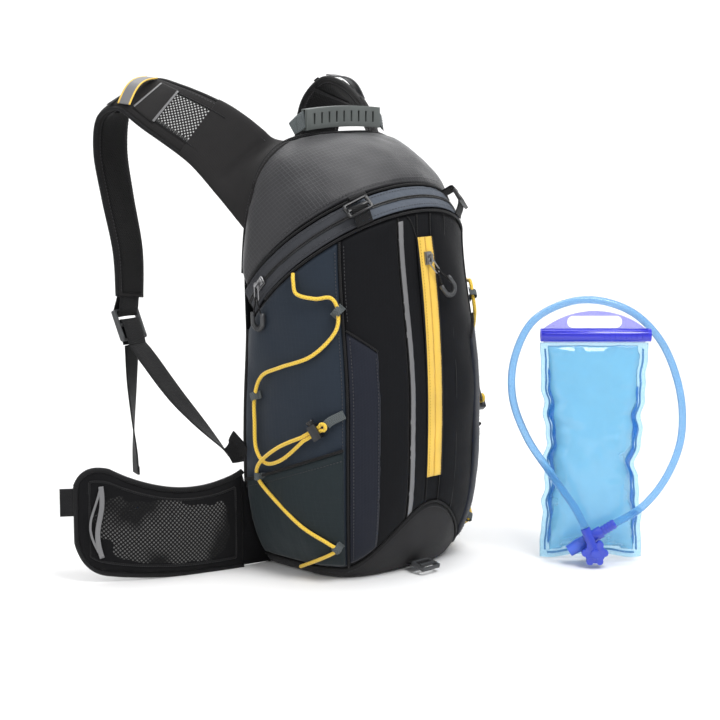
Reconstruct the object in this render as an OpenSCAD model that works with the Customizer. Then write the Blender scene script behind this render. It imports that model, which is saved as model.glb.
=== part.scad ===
// Cycling hydration pack with its one-litre reservoir standing beside it.
// Millimetres, +Z up. Origin: middle of the pack's base, on the floor.
// -Y is the outer face with the pocket zip, +Y is the side against the wearer's back.

/* [Pack body] */
// Half width of the body at its widest
body_hw = 119; // [114:1:124]
// Depth from the widest line to the front, at mid height
body_d = 105; // [98:1:110]
// Half width of the base
base_hw = 84; // [78:1:90]
// Depth from the widest line to the front, at the base
base_d = 57; // [52:1:62]
// Distance from the origin to the flat back of the body
back_y = 70; // [68:1:72]
// Rise of the back arch above its ends
arch_h = 154; // [148:1:160]
// Thickness of the sewn panels
skin_t = 2.4; // [2:0.2:3]

/* [Main zip] */
// Radius of the zip line
zip_r = 120; // [116:1:124]
// Tilt of the zip plane from level
zip_tilt = 41; // [38:1:44]
// Height of the centre of the zip line
zip_cz = 300; // [292:1:308]
// Distance of the centre of the zip line towards the wearer
zip_cy = 29; // [26:1:32]
// Width of the zip band
band_w = 26; // [22:1:30]

/* [Harness] */
// Thickness of the shoulder pads
pad_t = 8; // [6:1:10]
// Width of the strap webbing
web_w = 25; // [20:1:25]
// Thickness of the webbing
web_t = 1.6; // [1.2:0.2:2]
// Height of the hip belt wings
wing_h = 98; // [90:1:100]
// Thickness of the hip belt wings
wing_t = 13; // [10:1:14]

/* [Elastic cord] */
// Radius of the elastic cord
cord_r = 1.9; // [1.5:0.1:2.2]

/* [Reservoir] */
// Distance from the origin to the middle of the reservoir, towards +X and towards -Y
res_out = 160; // [155:1:175]
// Turn of the reservoir about the vertical
res_turn = -45; // [-48:1:-42]
// Width of the slide clamp
clamp_w = 110; // [106:1:114]
// Height of the film bag
bag_h = 226; // [220:1:230]
// Radius of the drinking tube
tube_r = 4; // [3.5:0.1:4.5]

/* [Hidden] */
$fn = 32;

corner_a = 26.4;      // how far the rear corners wrap past the widest line, in degrees
arch_z = 284;         // height of the ends of the back arch
low_cy = zip_cy - band_w / 2 * sin(zip_tilt);
low_cz = zip_cz - band_w / 2 * cos(zip_tilt);
seam_a = 43;          // perimeter angle of the seam between the side and front panels
gusset_a = 58;        // perimeter angle of the front edge of the gussets
strip_a = 75.5;       // perimeter angle of the reflective strip
seam_gap = 0.5;       // gap between neighbouring panels, in degrees
mesh_steps = 14;      // steps along the longer side of a panel

// ---------- small functions ----------
function lerp(a, b, t) = a + (b - a) * t;
function smooth(t) = t * t * (3 - 2 * t);
function unit(v) = v / norm(v);
function polar_r(c, s, n) = pow(pow(abs(c), n) + pow(abs(s), n), -1 / n);

// Point on a Catmull-Rom curve through the rows of pts, at t from 0 to 1. A row may hold more than a place.
function curve_at(pts, t) =
    let (n = len(pts) - 1, s = min(t * n, n - 0.0001), i = floor(s), f = s - i,
         a = pts[max(i - 1, 0)], b = pts[i], c = pts[i + 1], d = pts[min(i + 2, n)])
    0.5 * (2 * b + (c - a) * f + (2 * a - 5 * b + 4 * c - d) * f * f + (3 * b - a - 3 * c + d) * f * f * f);
function curve(pts, steps) = [for (i = [0:steps]) curve_at(pts, i / steps)];
function place(row) = [row[0], row[1], row[2]];

// ---------- the body's surface ----------
// u is the perimeter angle: 0 at the left, 90 at the front, 180 at the right.
// v is the height share: 0 at the base, 1 at the zip band.
function grow(v) = 1 - pow(1 - min(max(v, 0) / 0.5, 1), 3.5);
function fade(v) = smooth(max(0, (min(v, 1) - 0.5) / 0.5));
function ring_w(v) = base_hw + (body_hw - base_hw) * grow(v) + (zip_r - body_hw) * fade(v);
function ring_d(v) = base_d + (body_d - base_d) * grow(v) + (zip_r * cos(zip_tilt) - body_d) * fade(v);
function ring_cy(v) = 8 + 10 * grow(v) + (low_cy - 18) * fade(v);
function ring_n(v) = 3 - 0.4 * grow(v) - 0.6 * fade(v);
function ring_slope(v) = tan(zip_tilt) * pow(max(v, 0), 1.6);
function rear_d(v) =
    let (c = cos(corner_a), s = sin(corner_a))
    (back_y - ring_cy(v)) / (polar_r(c, s, ring_n(v)) * s);
function body_raw(u, v) =
    let (c = cos(u), s = sin(u), r = polar_r(c, s, ring_n(v)),
         d = s < 0 ? rear_d(v) : ring_d(v), y = ring_cy(v) - d * r * s)
    [-ring_w(v) * r * c, y, low_cz * v - ring_slope(v) * (y - ring_cy(v))];
function body_out(u, v) =
    let (du = body_raw(u + 0.5, v) - body_raw(u - 0.5, v),
         dv = body_raw(u, min(v + 0.004, 1)) - body_raw(u, max(v - 0.004, 0)))
    unit(cross(du, dv));
function body(u, v, off = 0) = body_raw(u, v) + off * body_out(u, v);

// ---------- the cap between the zip band and the back arch ----------
function zip_point(u, along, r = zip_r) =
    [-r * cos(u),
     zip_cy - r * sin(u) * cos(zip_tilt) + along * sin(zip_tilt),
     zip_cz + r * sin(u) * sin(zip_tilt) + along * cos(zip_tilt)];
function arch_b(u) = (u + corner_a) / (180 + 2 * corner_a) * 180;
function arch_point(u, h = arch_h, lean = 24, w = 113) =
    let (c = cos(arch_b(u)), s = sin(arch_b(u)), r = polar_r(c, s, 4))
    [-w * r * c, back_y - lean * s * s, arch_z + h * r * s];
function cap_raw(u, w) =
    let (m = lerp(zip_point(u, band_w / 2), arch_point(u), w), out = unit(m - [0, 20, 330]))
    m + out * 56 * w * (1 - w) * max(0, sin(arch_b(u)));
function cap_out(u, w) =
    unit(cross(cap_raw(u + 0.5, w) - cap_raw(u - 0.5, w), cap_raw(u, w + 0.01) - cap_raw(u, w - 0.01)));
function cap(u, w, off = 0) = cap_raw(u, w) + off * cap_out(u, w);

// The yoke closes the back between the top of the back panel and the back arch.
panel_arch_h = 116;   // height of the back panel's own arch
function yoke_raw(u, w) =
    let (m = lerp(arch_point(u), arch_point(u, panel_arch_h, 0, 106) + [0, 4, 0], w))
    m + [0, 20 * w * (1 - w), 12 * w * (1 - w)] * sin(arch_b(u));
function yoke_out(u, w) =
    unit(cross(yoke_raw(u + 0.5, w) - yoke_raw(u - 0.5, w), yoke_raw(u, w + 0.01) - yoke_raw(u, w - 0.01)));
function yoke_pt(u, w, off = 0) = yoke_raw(u, w) + off * yoke_out(u, w);

// ---------- solids from point grids ----------
// Sheet of thickness t under the surface f(u, v, off), from u0 to u1 and between the heights lo(u) and hi(u).
module sheet(f, u0, u1, nu, nv, t, off = 0, lo = function (u) 0, hi = function (u) 1) {
    grid = [for (o = [off, off - t]) for (i = [0:nu]) for (j = [0:nv])
        let (u = lerp(u0, u1, i / nu)) f(u, lerp(lo(u), hi(u), j / nv), o)];
    back = (nu + 1) * (nv + 1);
    function at(i, j) = i * (nv + 1) + j;
    skin_faces = [for (i = [0:nu - 1]) for (j = [0:nv - 1]) for (face = [
        [at(i, j), at(i, j + 1), at(i + 1, j + 1)],
        [at(i, j), at(i + 1, j + 1), at(i + 1, j)],
        [at(i, j) + back, at(i + 1, j + 1) + back, at(i, j + 1) + back],
        [at(i, j) + back, at(i + 1, j) + back, at(i + 1, j + 1) + back]]) face];
    rim = concat(
        [for (i = [0:nu - 1]) [at(i, 0), at(i + 1, 0)]],
        [for (j = [0:nv - 1]) [at(nu, j), at(nu, j + 1)]],
        [for (i = [nu:-1:1]) [at(i, nv), at(i - 1, nv)]],
        [for (j = [nv:-1:1]) [at(0, j), at(0, j - 1)]]);
    rim_faces = [for (e = rim) for (face = [
        [e[0], e[1], e[1] + back], [e[0], e[1] + back, e[0] + back]]) face];
    polyhedron(grid, concat(skin_faces, rim_faces));
}

// Solid skinned over a list of rings of equal length, closed with a fan at each end.
module skin(rings) {
    k = len(rings[0]);
    n = len(rings);
    walls = [for (i = [0:n - 2]) for (j = [0:k - 1]) for (face = [
        [i * k + j, i * k + (j + 1) % k, (i + 1) * k + (j + 1) % k],
        [i * k + j, (i + 1) * k + (j + 1) % k, (i + 1) * k + j]]) face];
    ends = [for (j = [1:k - 2]) for (face = [
        [0, j + 1, j], [(n - 1) * k, (n - 1) * k + j, (n - 1) * k + j + 1]]) face];
    polyhedron([for (r = rings) each r], concat(walls, ends));
}

// Band along rows of [x, y, z, width, wx, wy, wz]: w is the direction of the band's width.
function tangent(rows, i) = unit(place(rows[min(i + 1, len(rows) - 1)]) - place(rows[max(i - 1, 0)]));
function band_ring(row, along, t) =
    let (n = unit(cross([row[4], row[5], row[6]], along)), w = unit(cross(along, n)), p = place(row),
         a = w * row[3] / 2, b = n * t / 2)
    [p - a - b, p + a - b, p + a + b, p - a + b];
module band(rows, t) {
    skin([for (i = [0:len(rows) - 1]) band_ring(rows[i], tangent(rows, i), t)]);
}

// Round tube or cord along a list of points.
function round_ring(p, along, r, k) =
    let (side = unit(cross(along, abs(along[2]) > 0.8 ? [0, 1, 0] : [0, 0, 1])), up = cross(along, side))
    [for (j = [0:k - 1]) p + r * (cos(360 * j / k) * side - sin(360 * j / k) * up)];
module cord(points, r, k = 6) {
    skin([for (i = [0:len(points) - 1]) round_ring(points[i], tangent(points, i), r, k)]);
}

// Puts children on a surface: their z points out of it, x along the perimeter and y up it.
module stand_on(p, out, across) {
    x = unit(across - out * (across * out));
    y = cross(out, x);
    rows = [for (i = [0:2]) [x[i], y[i], out[i], p[i]]];
    multmatrix(concat(rows, [[0, 0, 0, 1]])) children();
}
module on_body(u, v, off = 0) {
    stand_on(body(u, v, off), body_out(u, v), body_raw(u + 1, v) - body_raw(u - 1, v)) children();
}
module mirrored() {
    mirror([1, 0, 0]) children();
}
module rounded(w, h, r) {
    hull() for (x = [-1, 1]) for (y = [-1, 1])
        translate([x * (w / 2 - r), y * (h / 2 - r)]) circle(r, $fn = 24);
}

// ---------- pack body ----------
function left_edge() = [for (i = [0:8]) let (p = body_raw(-corner_a, i / 8)) [p[0], p[2]]];
function back_outline() =
    let (left = left_edge(),
         arch = [for (i = [1:19])
             let (p = arch_point(lerp(-corner_a, 180 + corner_a, i / 20), panel_arch_h, 0, 109))
             [p[0], p[2]]])
    concat(left, arch, [for (i = [len(left) - 1:-1:0]) [-left[i][0], left[i][1]]]);
module back_plate(t) {
    rotate([90, 0, 0]) linear_extrude(t, center = true) children();
}
module back_panel() {
    color("#141415") translate([0, back_y + 3, 0]) back_plate(4) offset(r = -1) polygon(back_outline());
}
module back_pads() {
    color("#1b1b1d") for (x = [-1, 1]) for (row = [0, 1, 2])
        translate([x * 45, back_y + 9.2, 95 + 100 * row]) back_plate(8) rounded(68, 84, 14);
}
module yoke() {
    color("#202022") sheet(function (u, w, o) yoke_pt(u, w, o), 4, 176, 20, 3, skin_t, 0,
        function (u) 0.08, function (u) 0.84);
}
module reservoir_sleeve() {
    color("#2a2b2e") translate([0, 20, 165]) back_plate(1.2) rounded(170, 240, 12);
}
module reservoir_hanger() {
    color("#2a2b2e") translate([0, back_y - 3, 352]) difference() {
        back_plate(2) rounded(22, 50, 4);
        translate([0, 0, -16]) rotate([90, 0, 0]) cylinder(r = 5, h = 10, center = true);
    }
}
port_u = 176;         // perimeter angle of the tube's outlet
port_w = 0.55;        // its place between the zip band and the back arch
port_r = 6;
port_h = 4;
module on_port(off) {
    stand_on(cap(port_u, port_w, off), cap_out(port_u, port_w), [0, 1, 0]) children();
}
module hose_port() {
    color("#111112") on_port(0.8) difference() {
        union() {
            cylinder(r = 2 * port_r, h = 1.6);
            cylinder(r = port_r + 1.6, h = port_h);
        }
        translate([0, 0, -1]) cylinder(r = port_r, h = port_h + 2);
    }
}
// Height share of the skirt's upper edge: a low strip at the sides that rises to a shovel at the front.
function skirt_v(u) = 0.035 + 0.19 * pow(max(0, sin(min(max((u - 38) * 90 / 52, 0), 180))), 2);
above_skirt = function (u) skirt_v(u) + 0.006;
under_band = function (u) 0.985;
module body_panel(u0, u1, nu, lo, hi, off = 0, t = skin_t) {
    sheet(function (u, v, o) body(u, v, o), u0, u1, nu, mesh_steps, t, off, lo, hi);
}
module front_panel_left() {
    color("#17181a") body_panel(seam_a + seam_gap, strip_a - 1.6, 6, above_skirt, under_band);
}
module front_panel_centre() {
    color("#191a1c") body_panel(strip_a - 1.1, 90 - 6.4, 2, above_skirt, under_band);
}
module front_panel_right() {
    color("#151617") body_panel(90 + 6.4, 180 - seam_a - seam_gap, 9, above_skirt, under_band);
}
module side_panel() {
    color("#2d343d") body_panel(-corner_a, seam_a - seam_gap, 9, above_skirt, under_band);
}
// The gusset lies over the front panel's lower outer corner and has a slanting top.
module gusset() {
    color("#24272f") body_panel(seam_a + 1, gusset_a, 2, function (u) skirt_v(u) + 0.02,
        function (u) lerp(0.74, 0.66, (u - seam_a) / (gusset_a - seam_a)), 2.2, 1.6);
}
module side_pocket() {
    color("#283033") body_panel(-corner_a + 4, seam_a - 2, 7, function (u) skirt_v(u) + 0.02,
        function (u) lerp(0.34, 0.42, (u + corner_a) / (seam_a + corner_a)), 3, 2.2);
}
module top_panel() {
    color("#2b2b2d") sheet(function (u, w, o) cap(u, w, o), -15, 195, 22, 5, skin_t, 0,
        function (u) 0.04, function (u) 0.96);
}
function base_outline() = [for (i = [0:27])
    let (u = lerp(-corner_a, 180 + corner_a, i / 27), p = body_raw(u, 0)) [p[0], p[1]]];
module base_panel() {
    color("#232325") linear_extrude(3) offset(delta = -6) polygon(base_outline());
}
module base_skirt() {
    color("#29282b") sheet(function (u, v, o) body(u, v, o), -corner_a, 180 + corner_a, 30, 4, skin_t, 0,
        function (u) 0, function (u) skirt_v(u));
}

// ---------- main zip ----------
module zip_frame(u = 0) {
    translate([0, zip_cy, zip_cz]) rotate([-zip_tilt, 0, 0]) rotate([0, 0, 180 + u]) children();
}
band_u = -20;         // perimeter angle of the zip band's left end
slider_u = -4;        // where the slider rests
module main_zip_band() {
    color("#5c6069") zip_frame(band_u) rotate_extrude(angle = 180 - 2 * band_u, $fn = 96)
        translate([zip_r - 1.4, -band_w / 2 + 0.6]) square([1.8, band_w - 1.2]);
}
// Zip slider: two plates on a neck, with a bridge on two round posts. x runs along the zip, z out of it.
post_x = 3;           // the posts' distance from the middle of the slider
pull_lift = 4.3;      // height of the pull's ring above the slider's foot
module slider_body(l = 13, w = 9) {
    translate([-l / 2, -w / 2, 0]) cube([l, w, 1.6]);
    translate([-l / 2 + 1, -w / 2 + 1, 2]) cube([l - 2, w - 2, 1.2]);
    translate([-l / 2 + 1, -1.2, 1]) cube([2, 2.4, 1.4]);
    for (x = [-post_x, post_x]) translate([x, 0, 3]) cylinder(r = 1.2, h = 3);
    translate([-post_x - 1.2, -1.2, 5.6]) cube([2 * post_x + 2.4, 2.4, 1.2]);
}
module main_zip_slider() {
    color("#8b8d90") zip_frame(slider_u) translate([zip_r + 0.9, 0, 0]) rotate([90, 0, 90]) slider_body();
}
// Pull: a flat metal ring around one post, a cord loop and a moulded U-shaped grip, hanging along -y.
ring_l = 12;          // distance between the centres of the ring's round ends
grip_r = 7.4;         // bend radius of the grip
grip_t = 5;           // its thickness
module zip_pull(l = 46) {
    difference() {
        union() {
            for (y = [0, -ring_l]) translate([0, y, 0]) cylinder(r = 3.6, h = 1.4, center = true);
            translate([-3.6, -ring_l, -0.7]) cube([7.2, ring_l, 1.4]);
        }
        for (y = [0, -ring_l]) translate([0, y, 0]) cylinder(r = 2.3, h = 3, center = true);
        translate([-2.3, -ring_l, -2]) cube([4.6, ring_l, 4]);
    }
    for (x = [-1, 1]) translate([x * 2.2, -ring_l - 2.6, 0]) rotate([90, 0, x * 18])
        cylinder(r = 0.8, h = l - 29);
    translate([0, -l + grip_r + grip_t / 2, 0]) rotate([0, 0, 180]) rotate_extrude(angle = 180)
        translate([grip_r, 0]) circle(d = grip_t);
}
module main_zip_pull() {
    color("#3a3b3e") zip_frame(slider_u) translate([zip_r + 0.9 + pull_lift, 0, 0]) rotate([90, 0, 90])
        translate([-post_x, 0, 0]) rotate([0, 0, -zip_tilt]) zip_pull();
}

// ---------- front pocket zip, bent to the arc through three points of the front ----------
function front_at(v) = let (p = body_raw(90, v)) [p[1], p[2]];
front_lo = front_at(0.30);
front_mid = front_at(0.58);
front_hi = front_at(0.93);
function circle_through(a, b, c) =
    let (d = 2 * (a[0] * (b[1] - c[1]) + b[0] * (c[1] - a[1]) + c[0] * (a[1] - b[1])))
    [((a * a) * (b[1] - c[1]) + (b * b) * (c[1] - a[1]) + (c * c) * (a[1] - b[1])) / d,
     ((a * a) * (c[0] - b[0]) + (b * b) * (a[0] - c[0]) + (c * c) * (b[0] - a[0])) / d];
arc_c = circle_through(front_lo, front_mid, front_hi);
arc_r = norm(front_hi - arc_c);
function arc_angle(p) = atan2(p[1] - arc_c[1], arc_c[0] - p[0]);
arc_top = arc_angle(front_hi);
arc_low = arc_angle(front_lo);
slide_top = arc_top - 1.2;  // where the pocket zip's slider rests on the arc
front_swing = 38;     // how far the pocket zip's pull hangs to the right
tape_w = 20;          // width of the pocket zip
tape_t = 2.4;         // its thickness
// Children are placed at an angle on the zip's arc, with z out of the pack and y up it.
module on_front_zip(angle, off = 0) {
    translate([0, arc_c[0], arc_c[1]]) rotate([-angle, 0, 0]) translate([0, -arc_r - off, 0])
        rotate([90, 0, 0]) children();
}
module front_zip_tape() {
    color("#e3b23c") translate([0, arc_c[0], arc_c[1]]) rotate([90, 0, -90]) rotate([0, 0, arc_low])
        rotate_extrude(angle = arc_top - arc_low, $fn = 1440) translate([arc_r - tape_t / 2, -tape_w / 2])
            square([tape_t, tape_w]);
}
module front_zip_slider() {
    color("#8b8d90") on_front_zip(slide_top, 1.5) rotate([0, 0, -90]) slider_body();
}
module front_zip_pull() {
    color("#3a3b3e") on_front_zip(slide_top, 1.5 + pull_lift) translate([0, -post_x, 0])
        rotate([0, 0, front_swing]) zip_pull();
}
module reflective_strip() {
    color("#6f7073") body_panel(strip_a - 1.5, strip_a + 1.5, 1, function (u) skirt_v(u) + 0.012,
        function (u) 0.975, 2.2, 1.4);
}

// ---------- grab handle ----------
handle_y = 45;
handle_z = 431;       // height of the handle's swing axis
handle_end = 64;      // half the distance between the handle's sewn ends
module handle_webbing() {
    rows = [
        [-handle_end, 50, handle_z + 14, 17, 0, 0.2, 1],
        [-60, 47, handle_z + 17, 18, 0, 0, 1],
        [-50, handle_y, handle_z + 22, 18, 0, 0, 1]];
    color("#56585a") {
        for (m = [0, 1]) mirror([m, 0, 0]) band(curve(rows, 6), 2);
        translate([-50, handle_y - 1, handle_z + 16]) cube([100, 2, 12]);
    }
}
grip_l = 104;
grip_h = 21;
slots = 9;
module handle_grip() {
    arch_r = 520;
    color("#6a6c6b") translate([0, handle_y, handle_z + 22]) rotate([90, 0, 0]) difference() {
        linear_extrude(9, center = true) intersection() {
            translate([0, -arch_r]) difference() {
                circle(arch_r + grip_h / 2 + 2, $fn = 720);
                circle(arch_r - grip_h / 2 + 2, $fn = 720);
            }
            square([grip_l, 60], center = true);
        }
        linear_extrude(2.6, center = true) square([grip_l + 2, 19], center = true);
        for (i = [0:slots - 1]) let (x = (i - (slots - 1) / 2) * grip_l * 0.1)
            translate([x, 2 - x * x / (2 * arch_r), 0]) cube([2.4, 11, 20], center = true);
    }
}

// ---------- elastic cord ----------
// Webbing tabs that carry the cord: [perimeter angle, height share, turn about the surface's normal].
tabs = [[41, 0.80, 25], [-12, 0.66, 0], [-10, 0.36, -12], [37, 0.125, 40]];
function on_side(u, v, off = 5.6) = body(u, v, off);
lock_u = 29;          // where the cord lock sits
lock_v = 0.487;
lock_turn = 18;       // rise of the cords through the lock
strand_y = 1.95;      // half the distance between the two strands in the lock
lock_z = body_out(lock_u, lock_v);
lock_run = body_raw(lock_u + 1, lock_v) - body_raw(lock_u - 1, lock_v);
lock_across = unit(lock_run - lock_z * (lock_run * lock_z));
lock_up = cross(lock_z, lock_across);
lock_x = cos(lock_turn) * lock_across + sin(lock_turn) * lock_up;
lock_y = cross(lock_z, lock_x);
function lock_point(x, y) = body(lock_u, lock_v, 10) + x * lock_x + y * lock_y;
function upper_cord() = [
    on_side(18, 0.955), on_side(20, 0.91), on_side(30, 0.865), on_side(38, 0.845), on_side(41, 0.80),
    on_side(39, 0.745), on_side(27, 0.705), on_side(8, 0.715), on_side(-6, 0.72), on_side(-12, 0.66),
    on_side(-12.5, 0.56), on_side(-11, 0.46, 6.2), on_side(-3, 0.405, 7), on_side(10, 0.415, 8),
    lock_point(-16, -strand_y)];
function loop_cord() = concat(
    [lock_point(-8, -strand_y), lock_point(6, -strand_y)],
    [for (a = [-60:30:60]) lock_point(8 + 4 * cos(a), 3.4 * sin(a))],
    [lock_point(6, strand_y), lock_point(-8, strand_y)]);
function lower_cord() = [
    lock_point(-16, strand_y), on_side(8, 0.455, 11), on_side(-6, 0.41, 10.4), on_side(-10, 0.36, 7),
    on_side(-2, 0.30, 7), on_side(18, 0.20, 7), on_side(33, 0.145, 7), on_side(37, 0.125, 7),
    on_side(31, 0.10, 7), on_side(6, 0.045, 6.4)];
module elastic_cord() {
    color("#f0c53c") cord(concat(curve(upper_cord(), 38), loop_cord(), curve(lower_cord(), 26)), cord_r);
}
// A tab is a folded strip of webbing with an eye for the cord.
module tab(l = 12, w = 8, h = 8.6) {
    difference() {
        translate([-l / 2, -w / 2, 2.4]) cube([l, w, h]);
        translate([0, 0, 6]) rotate([90, 0, 0]) cylinder(r = 2.7, h = w + 2, center = true);
    }
}
module cord_loops() {
    color("#4b4e50") for (t = tabs) on_body(t[0], t[1], -0.6) rotate([0, 0, t[2]]) tab();
}
module lock_place() {
    stand_on(lock_point(0, 0), lock_z, lock_x) children();
}
// The lock's button is a plunger with a cross slot, which pinches the two strands against the barrel.
plunger_r = 3;
press = 2.4;          // travel of the button
module cord_lock() {
    color("#121213") lock_place() difference() {
        translate([-4.5, -8.4, -4.5]) cube([9, 15.4, 9]);
        translate([0, -7.2, 0]) rotate([-90, 0, 0]) cylinder(r = plunger_r + 0.08, h = 20);
        for (y = [-strand_y, strand_y]) translate([0, y, 0]) rotate([0, 90, 0])
            cylinder(r = cord_r + 0.3, h = 12, center = true);
    }
}
module cord_lock_button() {
    color("#1d1d1f") lock_place() difference() {
        union() {
            translate([0, -4.7, 0]) rotate([-90, 0, 0]) cylinder(r = plunger_r, h = 15);
            translate([0, 7.2 + press, 0]) rotate([-90, 0, 0]) cylinder(r = 3.9, h = 2);
        }
        translate([-5, -4, -cord_r - 0.15]) cube([10, 8 + press, 2 * cord_r + 0.3]);
    }
}

// ---------- helmet-net buckles ----------
buckle_u = 56;        // perimeter angle of the upper buckles
module ladder_frame(w, h, t, bars = 2) {
    slot_h = (h - 4 - 3 * (bars - 1)) / bars;
    linear_extrude(t, center = true) difference() {
        rounded(w, h, 2.4);
        for (i = [0:bars - 1]) translate([0, -h / 2 + 2 + slot_h / 2 + i * (slot_h + 3)])
            rounded(w - 7, slot_h, 1);
    }
}
buckle_lift = 11.4;   // height of the upper buckles over the zip line, so that the slider passes below
module top_buckle() {
    color("#0f0f10") zip_frame(buckle_u) translate([zip_r + buckle_lift, 0, 1]) rotate([90, 0, 90])
        rotate([0, 0, 4]) ladder_frame(28, 15, 3.6);
}
module top_buckle_loops() {
    color("#1b1b1d") for (m = [0, 1]) mirror([m, 0, 0]) zip_frame(buckle_u + 2) {
        translate([zip_r - 6, -9, 13.4]) cube([17, 18, 1.8]);
        translate([zip_r + 10.4, -9, 10.2]) cube([1.8, 18, 4]);
    }
}
module bottom_loop() {
    color("#1b1b1d") translate([-10, -66.6, 6]) cube([20, 9, 2]);
}
module bottom_buckle() {
    color("#2a2a2c") translate([0, -76, 8]) rotate([14, 0, 0]) ladder_frame(26, 18, 4);
}

// ---------- shoulder straps ----------
// Rows: place, width, direction of the width. The left strap; the right one is its mirror image.
strap_rows = [
    [-97, 82, 405, 76, 0.56, -0.20, 0.80], [-114, 114, 436, 68, 0.56, -0.20, 0.80],
    [-136, 160, 463, 60, 0.66, -0.06, 0.70], [-146, 194, 476, 57, 0.80, 0.12, 0.45],
    [-149, 226, 459, 54, 0.93, 0.24, 0.20], [-147, 237, 420, 50, 0.97, 0.24, 0.05],
    [-143, 232, 372, 45, 0.97, 0.20, 0.02], [-141, 219, 316, 39, 0.98, 0.14, 0],
    [-146, 211, 268, 34, 0.98, 0.10, 0]];
module strap_pad() {
    color("#161617") band(curve(strap_rows, 26), pad_t);
}
keeper_t = 0.36;      // where the hose keeper sits along the strap
module hose_keeper() {
    row = curve_at(strap_rows, keeper_t);
    along = unit(place(curve_at(strap_rows, keeper_t + 0.02)) - place(curve_at(strap_rows, keeper_t - 0.02)));
    out = unit(cross([row[4], row[5], row[6]], along));
    w = unit(cross(along, out));
    arc = [for (i = [0:8])
        let (s = i / 8 - 0.5, rise = pad_t / 2 + 0.3 + 9 * cos(180 * s),
             p = place(row) + w * s * (row[3] - 8) + out * rise)
        [p[0], p[1], p[2], 16, along[0], along[1], along[2]]];
    color("#c9b64a") band(arc, 1.2);
}
lock_tilt = 24;
module ladder_lock() {
    color("#3f4143") translate([-149.5, 208, 240]) rotate([-lock_tilt, 0, 8]) rotate([90, 0, 0])
        ladder_frame(36, 34, 5);
}
anchor = [-127, 84, 116];
web_rows = [
    [-149, 195, 220, web_w, 1, 0.1, 0], [-147, 180, 206, web_w, 0.98, 0.1, 0.1],
    [-139, 140, 166, web_w, 0.9, 0.3, 0.2],
    [anchor[0], anchor[1] + 3, anchor[2] + 5, web_w - 3, 0.5, 0.1, -0.5]];
tail_rows = [
    [-149, 205, 219, web_w, 0.98, 0.2, 0], [-148, 207, 180, web_w - 3, 0.9, 0.4, 0],
    [-148, 206, 140, web_w - 3, 0.7, 0.7, 0], [-148, 204, 105, web_w - 3, 0.45, 0.9, 0],
    [-148, 203, 82, web_w - 3, 0.4, 0.9, 0]];
module strap_webbing() {
    color("#0f0f10") {
        band(curve(web_rows, 12), web_t);
        band(curve(tail_rows, 12), web_t);
    }
}
module strap_anchors() {
    color("#0f0f10") for (m = [0, 1]) mirror([m, 0, 0]) {
        root = body(-corner_a + 1, 0.46);
        band(curve([[root[0] - 1.5, root[1] + 0.5, 128, 36, 0, 0, 1], [-118, 76, 120, 28, -0.2, -0.1, 1],
            [anchor[0] + 2, anchor[1] - 2.4, anchor[2] - 1, 20, -0.3, -0.2, 1]], 5), 2.4);
    }
}

// ---------- hip belt ----------
wing_rows = [[-115, 72, 0], [-150, 81, 0.24], [-195, 95, 0.5], [-240, 116, 0.78], [-274, 139, 1]];
function wing_low(s) = 0.6 + 15 * pow(s, 3);
function wing_top(s) = wing_h + 2 - 14 * sin(180 * min(s * 1.25, 1)) + 24 * pow(s, 3);
// Section of the wing: a rounded slab, whose corners draw in towards the tip.
function wing_ring(i, n) =
    let (row = curve_at(wing_rows, i / n), s = i / n, tip = pow(max(0, (s - 0.8) / 0.2), 2.4),
         ahead = curve_at(wing_rows, min(s + 0.02, 1)), behind = curve_at(wing_rows, max(s - 0.02, 0)),
         along = unit([ahead[0] - behind[0], ahead[1] - behind[1], 0]), out = [-along[1], along[0], 0],
         lo = wing_low(s) + 26 * tip, hi = wing_top(s) - 26 * tip,
         t = wing_t * (0.72 + 0.28 * sin(180 * s)) * (1 - 0.4 * tip))
    [for (c = [[0.5, 0.1], [0.5, 0.9], [0.2, 1], [-0.2, 1], [-0.5, 0.9], [-0.5, 0.1], [-0.2, 0], [0.2, 0]])
        [row[0], row[1], lerp(lo, hi, c[1])] + out * c[0] * t];
module belt_wing() {
    color("#111112") skin([for (i = [0:16]) wing_ring(i, 16)]);
}
module belt_tab() {
    color("#0c0c0d") translate([-274, 139, 82]) rotate([0, 0, 145]) translate([3, -1, -14]) cube([12, 2, 28]);
}

// ---------- reservoir, in its own frame: x across, z up, -y its front ----------
module reservoir_frame() {
    translate([res_out, -res_out, 0]) rotate([0, 0, res_turn]) children();
}
// Half width and half thickness of the film bag at a height share. The sides draw in where the bag is full.
bag_hw = clamp_w * 0.49;
function bag_w(s) = bag_hw * (1 - 0.115 * pow(sin(180 * pow(s, 0.85)), 1.5)) - 3 * pow(1 - s, 6);
function bag_t(s) = 1.2 + 16 * pow(sin(180 * pow(s, 0.72)), 0.8);
function bag_ring(s) = [for (k = [0:15])
    let (a = 360 * k / 16, c = cos(a), d = sin(a), r = polar_r(c, d, 1.7))
    [bag_w(s) * r * c, -bag_t(s) * r * d, 1 + bag_h * s]];
module reservoir_bag() {
    color([0.45, 0.78, 0.95, 0.6]) reservoir_frame() skin([for (i = [12:-1:0]) bag_ring(i / 12)]);
}
clamp_r = 6.8;        // outer radius of the clamp's channel
bead_r = 4.4;         // radius of the bead at the bag's mouth
clamp_z = 1 + bag_h + clamp_r + 0.6;
lip = 2.6;            // thickness of the clamp's closed end
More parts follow.
